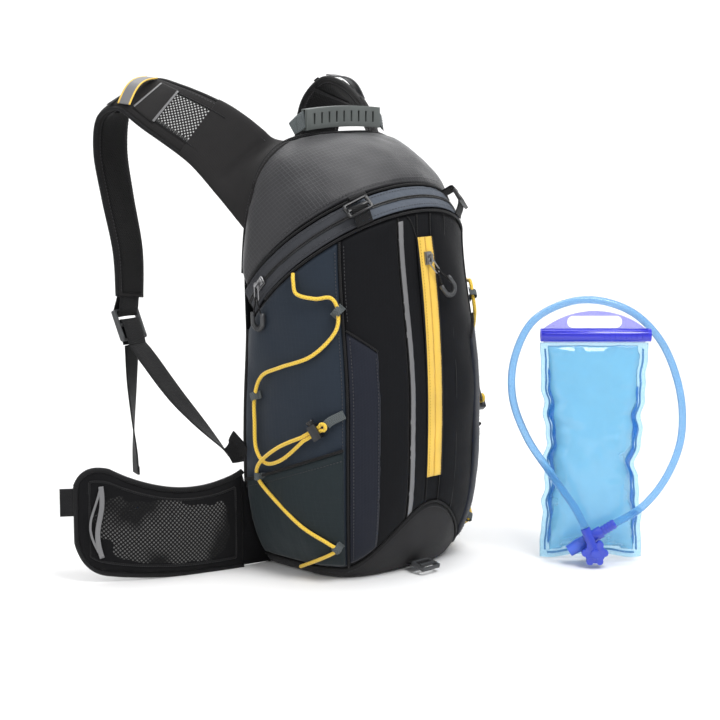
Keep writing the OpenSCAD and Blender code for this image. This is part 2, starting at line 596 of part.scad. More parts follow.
// Hairpin clamp: a split channel whose two jaws meet at one end, so that it slides off the mouth.
module slide_clamp() {
    color("#2a2fd0") reservoir_frame() translate([0, 0, clamp_z]) rotate([0, 90, 0]) {
        difference() {
            translate([0, 0, -clamp_w / 2]) cylinder(r = clamp_r, h = clamp_w);
            translate([0, 0, -clamp_w / 2 - 1]) cylinder(r = bead_r + 0.08, h = clamp_w + 2);
            translate([-20, -1.6, -clamp_w / 2 - 1]) cube([40, 3.2, clamp_w + 2]);
        }
        translate([0, 0, clamp_w / 2 - 0.4]) cylinder(r = clamp_r, h = lip + 0.4);
    }
}
handle_rise = 18;     // height of the carrying handle over the clamp
module reservoir_handle() {
    half = clamp_w / 2 - 3;
    arc = (half * half + handle_rise * handle_rise) / (2 * handle_rise);
    color([0.5, 0.5, 0.95, 0.7]) reservoir_frame() translate([0, 0, clamp_z]) {
        rotate([0, 90, 0]) cylinder(r = bead_r, h = 2 * half, center = true);
        translate([-half, -1.2, -clamp_r - 0.5]) cube([2 * half, 2.4, clamp_r]);
        rotate([90, 0, 0]) linear_extrude(2.4, center = true) difference() {
            intersection() {
                translate([0, clamp_r + handle_rise - arc]) circle(r = arc, $fn = 128);
                translate([-half, 0]) square([2 * half, 60]);
            }
            translate([0, clamp_r + 6.8]) rounded(56, 12.4, 6);
        }
    }
}
knob_z = 16;          // height of the outlet's axis
knob_y = -37;         // the drinking tube's elbow, in front of the bag
knob_lobes = 6;
module outlet_fitting() {
    color("#1f2cc0") reservoir_frame() translate([0, 0, knob_z]) {
        translate([0, -8, 0]) rotate([90, 0, 0]) cylinder(r = 4.6, h = -knob_y);
        translate([0, -34, 0]) rotate([90, 0, 0]) cylinder(r = 10.5, h = 7);
        for (i = [0:knob_lobes - 1]) rotate([0, i * 360 / knob_lobes, 0]) translate([10, -34, 0])
            rotate([90, 0, 0]) cylinder(r = 3.6, h = 7);
        translate([0, knob_y, 0]) rotate([0, -22, 0]) cylinder(r = 4.9, h = 27);
    }
}
// The tube leaves the elbow to the upper left, loops behind the handle and comes down in front on the right.
tube_pts = [
    [-12, knob_y, 45.5], [-22, -36, 64], [-46, -32, 98], [-70, -26, 134], [-84, -14, 174],
    [-80, 2, 214], [-58, 15, 250], [-12, 19, 268], [36, 18, 258], [70, 12, 226],
    [87, -6, 180], [88, -20, 134], [74, -25, 94], [50, -26, 62], [24, -25, 45]];
module drinking_tube() {
    color([0.45, 0.72, 0.92, 0.8]) reservoir_frame() cord(curve(tube_pts, 54), tube_r, 10);
}
valve_tilt = 122;     // the valve lies along the end of the tube, pointing down to the left
module valve_frame() {
    reservoir_frame() translate([21.8, -24.6, 43.6]) rotate([0, -valve_tilt, 0]) children();
}
module bite_valve_body() {
    color("#2a3ed6") valve_frame() {
        cylinder(r = 4.6, h = 17);
        for (i = [0:3]) translate([0, 0, 2 + 3.6 * i]) cylinder(r = 5.3, h = 1.6);
        translate([0, 0, 16]) cylinder(r = 6.4, h = 20);
    }
}
module bite_valve_mouthpiece() {
    color("#5a86e8") valve_frame() translate([0, 0, 36.2]) {
        cylinder(r1 = 6.2, r2 = 7, h = 7);
        translate([0, 0, 7]) cylinder(r1 = 7, r2 = 6, h = 12);
    }
}

back_panel();
back_pads();
yoke();
reservoir_sleeve();
reservoir_hanger();
hose_port();
front_panel_left();
front_panel_centre();
front_panel_right();
side_panel();  // side_panel_left
mirrored() side_panel();  // side_panel_right
gusset();  // gusset_left
mirrored() gusset();  // gusset_right
side_pocket();  // side_pocket_left
mirrored() side_pocket();  // side_pocket_right
top_panel();
base_panel();
base_skirt();
main_zip_band();
main_zip_slider();
main_zip_pull();
front_zip_tape();
front_zip_slider();
front_zip_pull();
reflective_strip();
handle_webbing();
handle_grip();
cord_loops();  // cord_loops_left
mirrored() cord_loops();  // cord_loops_right
elastic_cord();  // elastic_cord_left
mirrored() elastic_cord();  // elastic_cord_right
cord_lock();  // cord_lock_left
mirrored() cord_lock();  // cord_lock_right
cord_lock_button();  // cord_lock_button_left
mirrored() cord_lock_button();  // cord_lock_button_right
top_buckle();  // top_buckle_left
mirrored() top_buckle();  // top_buckle_right
top_buckle_loops();
bottom_loop();
bottom_buckle();
strap_pad();  // strap_pad_left
mirrored() strap_pad();  // strap_pad_right
hose_keeper();  // hose_keeper_left
mirrored() hose_keeper();  // hose_keeper_right
ladder_lock();  // ladder_lock_left
mirrored() ladder_lock();  // ladder_lock_right
strap_webbing();  // strap_webbing_left
mirrored() strap_webbing();  // strap_webbing_right
strap_anchors();
belt_wing();  // belt_wing_left
mirrored() belt_wing();  // belt_wing_right
belt_tab();  // belt_tab_left
mirrored() belt_tab();  // belt_tab_right
reservoir_bag();
reservoir_handle();
slide_clamp();
outlet_fitting();
drinking_tube();
bite_valve_body();
bite_valve_mouthpiece();
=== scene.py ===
"""Looks for the hydration pack: cloth, webbing, zips, cords and reservoir, built around the CAD frame."""

import math

import bpy
import numpy as np
from mathutils import Matrix, Vector, noise


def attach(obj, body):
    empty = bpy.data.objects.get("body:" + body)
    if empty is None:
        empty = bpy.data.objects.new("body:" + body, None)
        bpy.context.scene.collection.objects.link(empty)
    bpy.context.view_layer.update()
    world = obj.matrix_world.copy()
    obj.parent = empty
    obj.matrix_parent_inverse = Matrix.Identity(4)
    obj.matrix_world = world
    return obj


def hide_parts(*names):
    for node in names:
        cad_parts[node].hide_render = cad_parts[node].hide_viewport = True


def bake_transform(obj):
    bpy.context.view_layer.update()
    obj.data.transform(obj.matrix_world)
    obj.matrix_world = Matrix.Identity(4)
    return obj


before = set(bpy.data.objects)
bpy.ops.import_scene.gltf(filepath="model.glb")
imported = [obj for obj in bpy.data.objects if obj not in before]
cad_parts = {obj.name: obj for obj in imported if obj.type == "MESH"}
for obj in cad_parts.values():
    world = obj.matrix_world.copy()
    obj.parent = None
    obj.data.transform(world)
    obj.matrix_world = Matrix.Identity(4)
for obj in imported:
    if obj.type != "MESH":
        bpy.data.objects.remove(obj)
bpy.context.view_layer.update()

MM = 0.001  # sizes below are in millimetres

# ---------- driving sizes of the pack, as in the CAD source ----------
BODY_HW, BODY_D = 119.0, 105.0
BASE_HW, BASE_D = 84.0, 57.0
BACK_Y = 70.0
ARCH_H, ARCH_Z = 154.0, 284.0
ZIP_R, ZIP_TILT = 120.0, math.radians(41)
ZIP_CY, ZIP_CZ = 29.0, 300.0
BAND_W = 26.0
CORNER = 26.4  # how far the rear corners wrap past the widest line, in degrees
SEAM, GUSSET, STRIP = 43.0, 58.0, 75.5  # perimeter angles of the seams and the strip
LOW_CY = ZIP_CY - BAND_W / 2 * math.sin(ZIP_TILT)
LOW_CZ = ZIP_CZ - BAND_W / 2 * math.cos(ZIP_TILT)


# ---------- small helpers ----------
def lerp(a, b, t):
    return a + (b - a) * t


def smooth(t):
    t = np.clip(t, 0, 1)
    return t * t * (3 - 2 * t)


def unit(v):
    return v / np.maximum(np.linalg.norm(v, axis=-1, keepdims=True), 1e-9)


def polar_r(c, s, n):
    return (np.abs(c) ** n + np.abs(s) ** n) ** (-1 / n)


def stack(x, y, z):
    return np.stack(np.broadcast_arrays(x, y, z), axis=-1)


def hump(count):
    """Rises from 0 to 1 and falls back, over a number of steps."""
    return np.sin(np.linspace(0, 1, count) * math.pi)


def circle(count):
    """Angles evenly round a full turn."""
    return np.radians(np.arange(count) * 360 / count)


def level(value):
    """A function that gives the same value everywhere on a surface."""
    return lambda u: value + 0 * u


def distance(points, axis=0):
    """Distance run along a line of points, or along an axis of a grid of them."""
    step = np.linalg.norm(np.diff(points, axis=axis), axis=-1)
    return np.insert(np.cumsum(step, axis=axis), 0, 0, axis=axis)


def sample(at, run, rows):
    """Rows read at the given distances, straight between one row and the next."""
    rows = np.asarray(rows, float)
    return np.stack([np.interp(at, run, column) for column in rows.T], axis=-1)


def curve(rows, steps):
    """Points on a Catmull-Rom curve through rows, which may hold more than a place."""
    rows = np.array(rows, float)
    n = len(rows) - 1
    t = np.linspace(0, n, steps + 1)
    i = np.minimum(t.astype(int), n - 1)
    f = (t - i)[:, None]
    a, b = rows[np.maximum(i - 1, 0)], rows[i]
    c, d = rows[i + 1], rows[np.minimum(i + 2, n)]
    cubic = (3 * b - a - 3 * c + d) * f**3
    return 0.5 * (2 * b + (c - a) * f + (2 * a - 5 * b + 4 * c - d) * f**2 + cubic)


def fractal(points, scale, seed=0.0, octaves=2):
    """Smooth noise from -1 to 1 at each point, with features about scale millimetres across."""
    flat = points.reshape(-1, 3) / scale
    values = [noise.fractal(Vector(p) + Vector((seed, seed, seed)), 1.0, 2.0, octaves) for p in flat]
    return np.array(values).reshape(points.shape[:-1])


# ---------- the pack's surfaces, in millimetres ----------
def grow(v):
    return 1 - (1 - np.clip(v / 0.5, 0, 1)) ** 3.5


def fade(v):
    return smooth((np.minimum(v, 1) - 0.5) / 0.5)


def body(u, v):
    """Point on the body at perimeter angle u, 90 at the front, and height share v, 1 at the zip band."""
    u, v = np.broadcast_arrays(np.asarray(u, float), np.asarray(v, float))
    width = BASE_HW + (BODY_HW - BASE_HW) * grow(v) + (ZIP_R - BODY_HW) * fade(v)
    depth = BASE_D + (BODY_D - BASE_D) * grow(v) + (ZIP_R * math.cos(ZIP_TILT) - BODY_D) * fade(v)
    middle = 8 + 10 * grow(v) + (LOW_CY - 18) * fade(v)
    n = 3 - 0.4 * grow(v) - 0.6 * fade(v)
    c, s = np.cos(np.radians(u)), np.sin(np.radians(u))
    rear_c, rear_s = math.cos(math.radians(CORNER)), math.sin(math.radians(CORNER))
    rear = (BACK_Y - middle) / (polar_r(rear_c, rear_s, n) * rear_s)
    r = polar_r(c, s, n)
    y = middle - np.where(s < 0, rear, depth) * r * s
    slope = math.tan(ZIP_TILT) * np.maximum(v, 0) ** 1.6
    return stack(-width * r * c, y, LOW_CZ * v - slope * (y - middle))


def zip_point(u, along, r=ZIP_R):
    """Point near the zip line: along is the offset along the zip circle's axis."""
    c, s = np.cos(np.radians(u)), np.sin(np.radians(u))
    ct, st = math.cos(ZIP_TILT), math.sin(ZIP_TILT)
    return stack(-r * c, ZIP_CY - r * s * ct + along * st, ZIP_CZ + r * s * st + along * ct)


def arch(u, height=ARCH_H, lean=24.0, width=113.0):
    b = np.radians((np.asarray(u, float) + CORNER) / (180 + 2 * CORNER) * 180)
    c, s = np.cos(b), np.sin(b)
    r = polar_r(c, s, 4)
    return stack(-width * r * c, BACK_Y - lean * s * s, ARCH_Z + height * r * s)


def cap(u, w):
    """Point on the top between the zip band, at w 0, and the back arch, at w 1."""
    u, w = np.broadcast_arrays(np.asarray(u, float), np.asarray(w, float))
    middle = lerp(zip_point(u, BAND_W / 2), arch(u), w[..., None])
    swell = np.sin(np.radians((u + CORNER) / (180 + 2 * CORNER) * 180))
    bulge = 56 * w * (1 - w) * np.maximum(swell, 0)
    return middle + unit(middle - np.array([0, 20.0, 330.0])) * bulge[..., None]


def normal(surface, u, v, du=0.5, dv=0.004):
    across = surface(u + du, v) - surface(u - du, v)
    up = surface(u, np.minimum(v + dv, 1)) - surface(u, np.maximum(v - dv, 0))
    return unit(np.cross(across, up))


# ---------- mesh building ----------
def vertex_places(mesh):
    points = np.zeros(len(mesh.vertices) * 3)
    mesh.vertices.foreach_get("co", points)
    return points.reshape(-1, 3)


def set_cloth_uv(mesh, uv):
    """Gives a mesh cloth coordinates, in millimetres, from a pair for each point."""
    layer = mesh.uv_layers.get("cloth") or mesh.uv_layers.new(name="cloth")
    corners = np.zeros(len(mesh.loops), np.int32)
    mesh.loops.foreach_get("vertex_index", corners)
    layer.data.foreach_set("uv", uv.reshape(-1, 2)[corners].astype(np.float32).ravel())


def shade_smooth(mesh):
    mesh.polygons.foreach_set("use_smooth", np.ones(len(mesh.polygons), bool))


def link(obj):
    bpy.context.scene.collection.objects.link(obj)
    return obj


def add_mesh(name, points, faces, uv=None):
    """A smooth-shaded object from points and cloth coordinates in millimetres."""
    mesh = bpy.data.meshes.new(name)
    mesh.from_pydata((points.reshape(-1, 3) * MM).tolist(), [], [list(map(int, f)) for f in faces])
    if uv is not None:
        set_cloth_uv(mesh, uv)
    shade_smooth(mesh)
    mesh.update()
    return link(bpy.data.objects.new(name, mesh))


def grid_faces(n, m, start=0, inward=False):
    i, j = np.meshgrid(np.arange(n), np.arange(m), indexing="ij")
    a = start + i * (m + 1) + j
    quads = np.stack([a, a + m + 1, a + m + 2, a + 1], axis=-1).reshape(-1, 4)
    return quads[:, ::-1] if inward else quads


def shell_faces(n, m):
    """Faces of a closed sheet whose outer grid of points is followed by its inner grid."""
    back = (n + 1) * (m + 1)
    at = np.arange(back).reshape(n + 1, m + 1)
    rim = np.concatenate([at[:, 0], at[-1, 1:], at[-2::-1, -1], at[0, -2:0:-1]])
    after = np.roll(rim, -1)
    sides = np.stack([rim + back, after + back, after, rim], axis=-1)
    return np.concatenate([grid_faces(n, m), grid_faces(n, m, back, True), sides])


def from_edge(points):
    """Distances across and up a grid of points, and the distance to its nearest edge."""
    across, up = distance(points, 0), distance(points, 1)
    beside = np.minimum(across, across[-1:] - across)
    return across, up, np.minimum(beside, np.minimum(up, up[:, -1:] - up))


def closed_sheet(name, outer, inner, across, up, turned=False):
    """Mesh between two grids of points, whose cloth coordinates are across and up."""
    points = np.concatenate([outer.reshape(-1, 3), inner.reshape(-1, 3)])
    uv = np.stack(np.broadcast_arrays(across, up), axis=-1).reshape(-1, 2)
    faces = shell_faces(outer.shape[0] - 1, outer.shape[1] - 1)
    return add_mesh(name, points, faces[:, ::-1] if turned else faces, np.tile(uv, (2, 1)))


def puckers(points, edge, depth=0.45, reach=9.0, seed=3.0):
    """Little gathers that run in from a seam."""
    return depth * fractal(points, 7.0, seed) * np.exp(-edge / reach)


def sheet(name, surface, span, lo, hi, cells, thick=2.2, lift=0.0, roll=1.3, crown=1.0, relief=None):
    """Closed cloth panel on a surface, with rolled edges and a slight crown.

    lo and hi are functions of u, and relief one of the points and their distance up the panel.
    """
    s = np.linspace(0, 1, cells[0] + 1)[:, None]
    t = np.linspace(0, 1, cells[1] + 1)[None, :]
    u = lerp(span[0], span[1], s)
    v = lerp(lo(u), hi(u), t)
    u = np.broadcast_to(u, v.shape)
    base = surface(u, v)
    out = normal(surface, u, v)
    across, up, edge = from_edge(base)
    height = lift - roll * np.exp(-edge / 1.6) + crown * (1 - np.exp(-edge / 22))
    height = height + puckers(base, edge)
    if relief is not None:
        height = height + relief(base, up) * (1 - np.exp(-edge / 12))
    outer = base + out * height[..., None]
    inner = base + out * (lift - thick - roll * 0.2)
    return closed_sheet(name, outer, inner, across + 200, up)


def ring_faces(n, k, closed=False):
    """Faces along n rings of k points, capped at both ends unless the last ring meets the first."""
    i, j = np.meshgrid(np.arange(n if closed else n - 1), np.arange(k), indexing="ij")
    after, beside = (i + 1) % n, (j + 1) % k
    quads = np.stack([i * k + j, i * k + beside, after * k + beside, after * k + j], axis=-1)
    caps = [] if closed else [list(range(k))[::-1], list(range((n - 1) * k, n * k))]
    return quads.reshape(-1, 4).tolist() + caps


def frames(centres):
    """Unit tangents along a line of points."""
    ahead = np.roll(centres, -1, axis=0)
    behind = np.roll(centres, 1, axis=0)
    ahead[-1] = centres[-1]
    behind[0] = centres[0]
    return unit(ahead - behind)


def sweep(name, centres, sides, section, scale=None, closed=False):
    """Section, as (side, up) pairs, carried along centres.

    sides gives the rough direction of side, for the whole line or at each centre.
    """
    centres = np.asarray(centres, float)
    along = frames(centres)
    up = unit(np.cross(along, sides))
    side = np.cross(up, along)
    section = np.asarray(section, float)
    k, n = len(section), len(centres)
    scale = np.ones((n, 2)) if scale is None else np.broadcast_to(scale, (n, 2))
    a = section[None, :, 0, None] * scale[:, None, 0, None] * side[:, None, :]
    b = section[None, :, 1, None] * scale[:, None, 1, None] * up[:, None, :]
    rings = centres[:, None, :] + a + b
    around = distance(section * np.array([scale[:, 0].mean(), 1.0]))
    uv = np.stack(np.broadcast_arrays(distance(centres)[:, None], around[None, :]), axis=-1)
    return add_mesh(name, rings, ring_faces(n, k, closed), uv)


def ring_section(r, k=10):
    a = circle(k)
    return np.stack([r * np.cos(a), r * np.sin(a)], axis=-1)


def tube(name, centres, r, k=10, closed=False, flatness=1.0):
    centres = np.asarray(centres, float)
    along = frames(centres)
    side = np.cross(along[0], [0.2, 0.1, 1.0])
    sides = []
    for direction in along:
        side = unit(side - direction * np.dot(side, direction))
        sides.append(side)
    return sweep(name, centres, np.array(sides), ring_section(r, k) * [1, flatness], closed=closed)


def band_section(width, thick, k=5):
    """Flat section with rounded edges, and a few points across so that it can curve."""
    across = np.linspace(-width / 2 + thick / 2, width / 2 - thick / 2, k)
    shoulder = width / 2 - thick * 0.15
    right = [(shoulder, -thick * 0.32), (width / 2, 0), (shoulder, thick * 0.32)]
    low = [(x, -thick / 2) for x in across]
    high = [(x, thick / 2) for x in across[::-1]]
    return low + right + high + [(-x, -y) for x, y in right]


def ribbon(name, centres, sides, width, thick, scale=None):
    return sweep(name, centres, sides, band_section(width, thick), scale)


def join(name, parts):
    """One object from several, which keep their materials."""
    with bpy.context.temp_override(active_object=parts[0], selected_editable_objects=parts):
        bpy.ops.object.join()
    parts[0].name = name
    parts[0].data.name = name
    return parts[0]


STITCH_FACES = [(0, 2, 1), (0, 3, 2), (0, 1, 3), (1, 2, 5, 4), (2, 3, 6, 5), (3, 1, 4, 6),
                (7, 4, 5), (7, 5, 6), (7, 6, 4)]  # a pointed prism, whose 8 corners stitches() gives


def stitches(name, centres, outs, pitch=3.4, length=2.3, r=0.32):
    """A row of short raised threads along a line on a surface."""
    run = distance(centres)
    at = np.arange(pitch / 2, run[-1], pitch)
    places = sample(at, run, centres)
    out = unit(sample(at, run, np.broadcast_to(outs, np.shape(centres))))
    along = frames(places)
    side = np.cross(out, along)
    wide = [(x, y, z) for x in (-0.3, 0.3) for y, z in ((1, 0.1), (0, 1), (-1, 0.1))]
    corners = np.array([(-0.5, 0, -0.4)] + wide + [(0.5, 0, -0.4)])
    lengthwise, sideways, outwards = (corners[None, :, k, None] for k in range(3))
    points = (places[:, None] + along[:, None] * lengthwise * length
              + side[:, None] * sideways * r + out[:, None] * outwards * r)
    faces = [[k * 8 + c for c in f] for k in range(len(places)) for f in STITCH_FACES]
    return add_mesh(name, points, faces, np.zeros((len(places) * 8, 2)))


# ---------- materials ----------
class Look:
    """A Principled material whose nodes are added with short calls."""

    def __init__(self, name, **inputs):
        self.material = bpy.data.materials.new(name)
        self.material.use_nodes = True
        self.tree = self.material.node_tree
        self.bsdf = self.tree.nodes["Principled BSDF"]
        self.set(**inputs)

    def set(self, **inputs):
        for key, value in inputs.items():
            self.plug(self.bsdf.inputs[key.replace("_", " ")], value)

    def plug(self, socket, value):
        if isinstance(value, bpy.types.NodeSocket):
            self.tree.links.new(value, socket)
        elif hasattr(value, "__len__") and len(value) == 3 and len(socket.default_value) == 4:
            socket.default_value = (*value, 1)
        else:
            socket.default_value = value

    def node(self, kind, inputs=(), **settings):
        node = self.tree.nodes.new("ShaderNode" + kind)
        for key, value in settings.items():
            setattr(node, key, value)
        for key, value in dict(inputs).items():
            self.plug(node.inputs[key], value)
        return node

    def math(self, operation, a, b=0.0, c=0.0):
        return self.node("Math", {0: a, 1: b, 2: c}, operation=operation).outputs[0]

    def mix(self, share, a, b):
        node = self.node("Mix", {0: share}, data_type="RGBA")
        self.plug(node.inputs[6], a)
        self.plug(node.inputs[7], b)
        return node.outputs[2]

    def ramp(self, value, low, high, at_low=0.0, at_high=1.0):
        inputs = {0: value, 1: low, 2: high, 3: at_low, 4: at_high}
        return self.node("MapRange", inputs).outputs[0]

    def noise(self, scale, detail=2.0):
        place = self.node("TexCoord").outputs["Object"]
        return self.node("TexNoise", {"Scale": scale, "Detail": detail, "Vector": place}).outputs["Fac"]

    def cloth_uv(self):
        """Millimetres along and across the cloth."""
        parts = self.node("SeparateXYZ", {0: self.node("UVMap", uv_map="cloth").outputs[0]})
        return parts.outputs[0], parts.outputs[1]

    def bump(self, height, strength, distance=0.001):
        inputs = {"Height": height, "Strength": strength, "Distance": distance}
        self.set(Normal=self.node("Bump", inputs).outputs[0])

    def ridge(self, along, pitch, width):
        """1 on thin lines a pitch apart, 0 between them."""
        share = self.math("FRACT", self.math("DIVIDE", along, pitch))
        middle = self.math("ABSOLUTE", self.math("SUBTRACT", share, 0.5))
        return self.ramp(middle, 0.0, width / pitch, 1.0, 0.0)

    def wave(self, along, pitch):
        return self.math("SINE", self.math("MULTIPLY", along, 2 * math.pi / pitch))


def shade(color, share):
    return tuple(c * share for c in color)


def ripstop(name, color, grid=4.2, line=0.28, rough=0.62, sheen=0.35, bump=0.35, lift=1.35, shine=0.15):
    """Fine plain weave with raised reinforcement threads in a grid, soft creases and a little dust."""
    look = Look(name, Specular_IOR_Level=shine, Sheen_Weight=sheen, Sheen_Roughness=0.45)
    look.set(Sheen_Tint=shade((1, 1, 1), 0.8))
    x, y = look.cloth_uv()
    lines = look.math("MAXIMUM", look.ridge(x, grid, line), look.ridge(y, grid, line))
    weave = look.math("MULTIPLY", look.wave(x, 0.9), look.wave(y, 0.9))
    creases = look.noise(38.0, 4.0)
    cloud = look.noise(9.0, 3.0)
    body_color = look.mix(look.math("MULTIPLY", cloud, 0.9), shade(color, 0.78), shade(color, 1.22))
    look.set(Base_Color=look.mix(look.math("MULTIPLY", lines, 0.55), body_color, shade(color, lift)))
    look.set(Roughness=look.math("MULTIPLY_ADD", creases, 0.22, rough - 0.11))
    height = look.math("ADD", look.math("MULTIPLY", lines, 0.5), look.math("MULTIPLY", weave, 0.12))
    look.bump(look.math("ADD", height, look.math("MULTIPLY", creases, 1.6)), bump, 0.0005)
    return look.material


def spacer_mesh(name, color, under, pitch=3.4, hole=0.36, rough=0.8, patchy=False):
    """Knitted mesh: rows of dark holes, set half a step apart, over a paler or darker lining."""
    look = Look(name, Sheen_Weight=0.06, Specular_IOR_Level=0.15)
    x, y = look.cloth_uv()
    row = look.math("DIVIDE", y, pitch * 0.5)
    shift = look.math("MULTIPLY", look.math("MODULO", look.math("FLOOR", row), 2.0), 0.5)
    across = look.math("FRACT", look.math("ADD", look.math("DIVIDE", x, pitch), shift))
    dx = look.math("MULTIPLY", look.math("SUBTRACT", across, 0.5), 1.25)
    dy = look.math("MULTIPLY", look.math("SUBTRACT", look.math("FRACT", row), 0.5), 0.62)
    far = look.math("SQRT", look.math("ADD", look.math("MULTIPLY", dx, dx), look.math("MULTIPLY", dy, dy)))
    thread = look.ramp(far, hole * 0.62, hole)
    if patchy:
        patch = look.ramp(look.noise(17.0), 0.45, 0.58)
        under = look.mix(patch, shade(under, 0.08), under)
    look.set(Base_Color=look.mix(thread, under, color))
    look.set(Roughness=look.math("MULTIPLY_ADD", look.noise(60.0), 0.15, rough - 0.05))
    look.bump(look.math("ADD", thread, look.math("MULTIPLY", look.noise(220.0), 0.3)), 0.7, 0.0007)
    return look.material


def webbing(name, color, pitch=1.9, rough=0.65, bump=0.8):
    """Flat woven tape: slanted picks in two columns that meet in a herringbone."""
    look = Look(name, Sheen_Weight=0.06, Specular_IOR_Level=0.2)
    x, y = look.cloth_uv()
    slant = look.math("MULTIPLY", look.math("ABSOLUTE", look.wave(y, 12.0)), 1.6)
    picks = look.wave(look.math("ADD", x, slant), pitch)
    ends = look.wave(y, 1.4)
    height = look.math("ADD", look.math("MULTIPLY", picks, 0.5), look.math("MULTIPLY", ends, 0.35))
    tone = look.math("MULTIPLY_ADD", picks, 0.25, 0.5)
    look.set(Base_Color=look.mix(tone, shade(color, 0.7), shade(color, 1.4)))
    look.set(Roughness=look.math("MULTIPLY_ADD", look.noise(50.0), 0.2, rough - 0.1))
    look.bump(height, bump, 0.0004)
    return look.material


def braid(name, color, tint, pitch=3.2):
    """Round woven cord: two sets of strands that cross as they wind round it."""
    look = Look(name, Sheen_Weight=0.3, Roughness=0.55, Specular_IOR_Level=0.4)
    x, y = look.cloth_uv()
    one = look.wave(look.math("ADD", x, look.math("MULTIPLY", y, 1.1)), pitch)
    two = look.wave(look.math("SUBTRACT", x, look.math("MULTIPLY", y, 1.1)), pitch)
    cross = look.math("MAXIMUM", one, two)
    look.set(Base_Color=look.mix(look.math("MULTIPLY_ADD", cross, 0.4, 0.5), tint, color))
    look.bump(cross, 0.6, 0.0004)
    return look.material


def moulded(name, color, rough=0.42, grain=900.0, bump=0.12, specular=0.5, **extra):
    """Moulded plastic or rubber with a fine spark grain and slightly worn patches."""
    look = Look(name, Specular_IOR_Level=specular, **extra)
    patches = look.noise(30.0, 4.0)
    look.set(Base_Color=look.mix(patches, shade(color, 0.8), shade(color, 1.25)))
    look.set(Roughness=look.math("MULTIPLY_ADD", patches, 0.24, rough - 0.12))
    look.bump(look.noise(grain, 1.0), bump, 0.0003)
    return look.material


def metal(name, color, rough=0.3):
    """Plated zip hardware, a little scuffed."""
    look = Look(name, Metallic=1.0)
    scuffs = look.noise(120.0, 5.0)
    look.set(Base_Color=look.mix(scuffs, shade(color, 0.7), color))
    look.set(Roughness=look.math("MULTIPLY_ADD", scuffs, 0.35, rough - 0.12))
    look.bump(look.noise(600.0, 2.0), 0.08, 0.0003)
    return look.material


def clear(name, color, rough=0.12, solid=0.35, grain=0.2, scale=25.0, ior=1.33, coat=0.4):
    """See-through film or tube, with a faint cloud in it."""
    look = Look(name, Specular_IOR_Level=0.6, IOR=ior, Coat_Weight=coat, Coat_Roughness=0.05)
    cloud = look.noise(scale, 4.0)
    look.set(Base_Color=look.mix(cloud, shade(color, 0.85), color))
    look.set(Roughness=look.math("MULTIPLY_ADD", cloud, 0.12, rough))
    look.set(Transmission_Weight=0.55, Alpha=look.math("MULTIPLY_ADD", cloud, 0.1, solid))
    look.bump(look.noise(scale * 3, 3.0), grain, 0.0008)
    return look.material


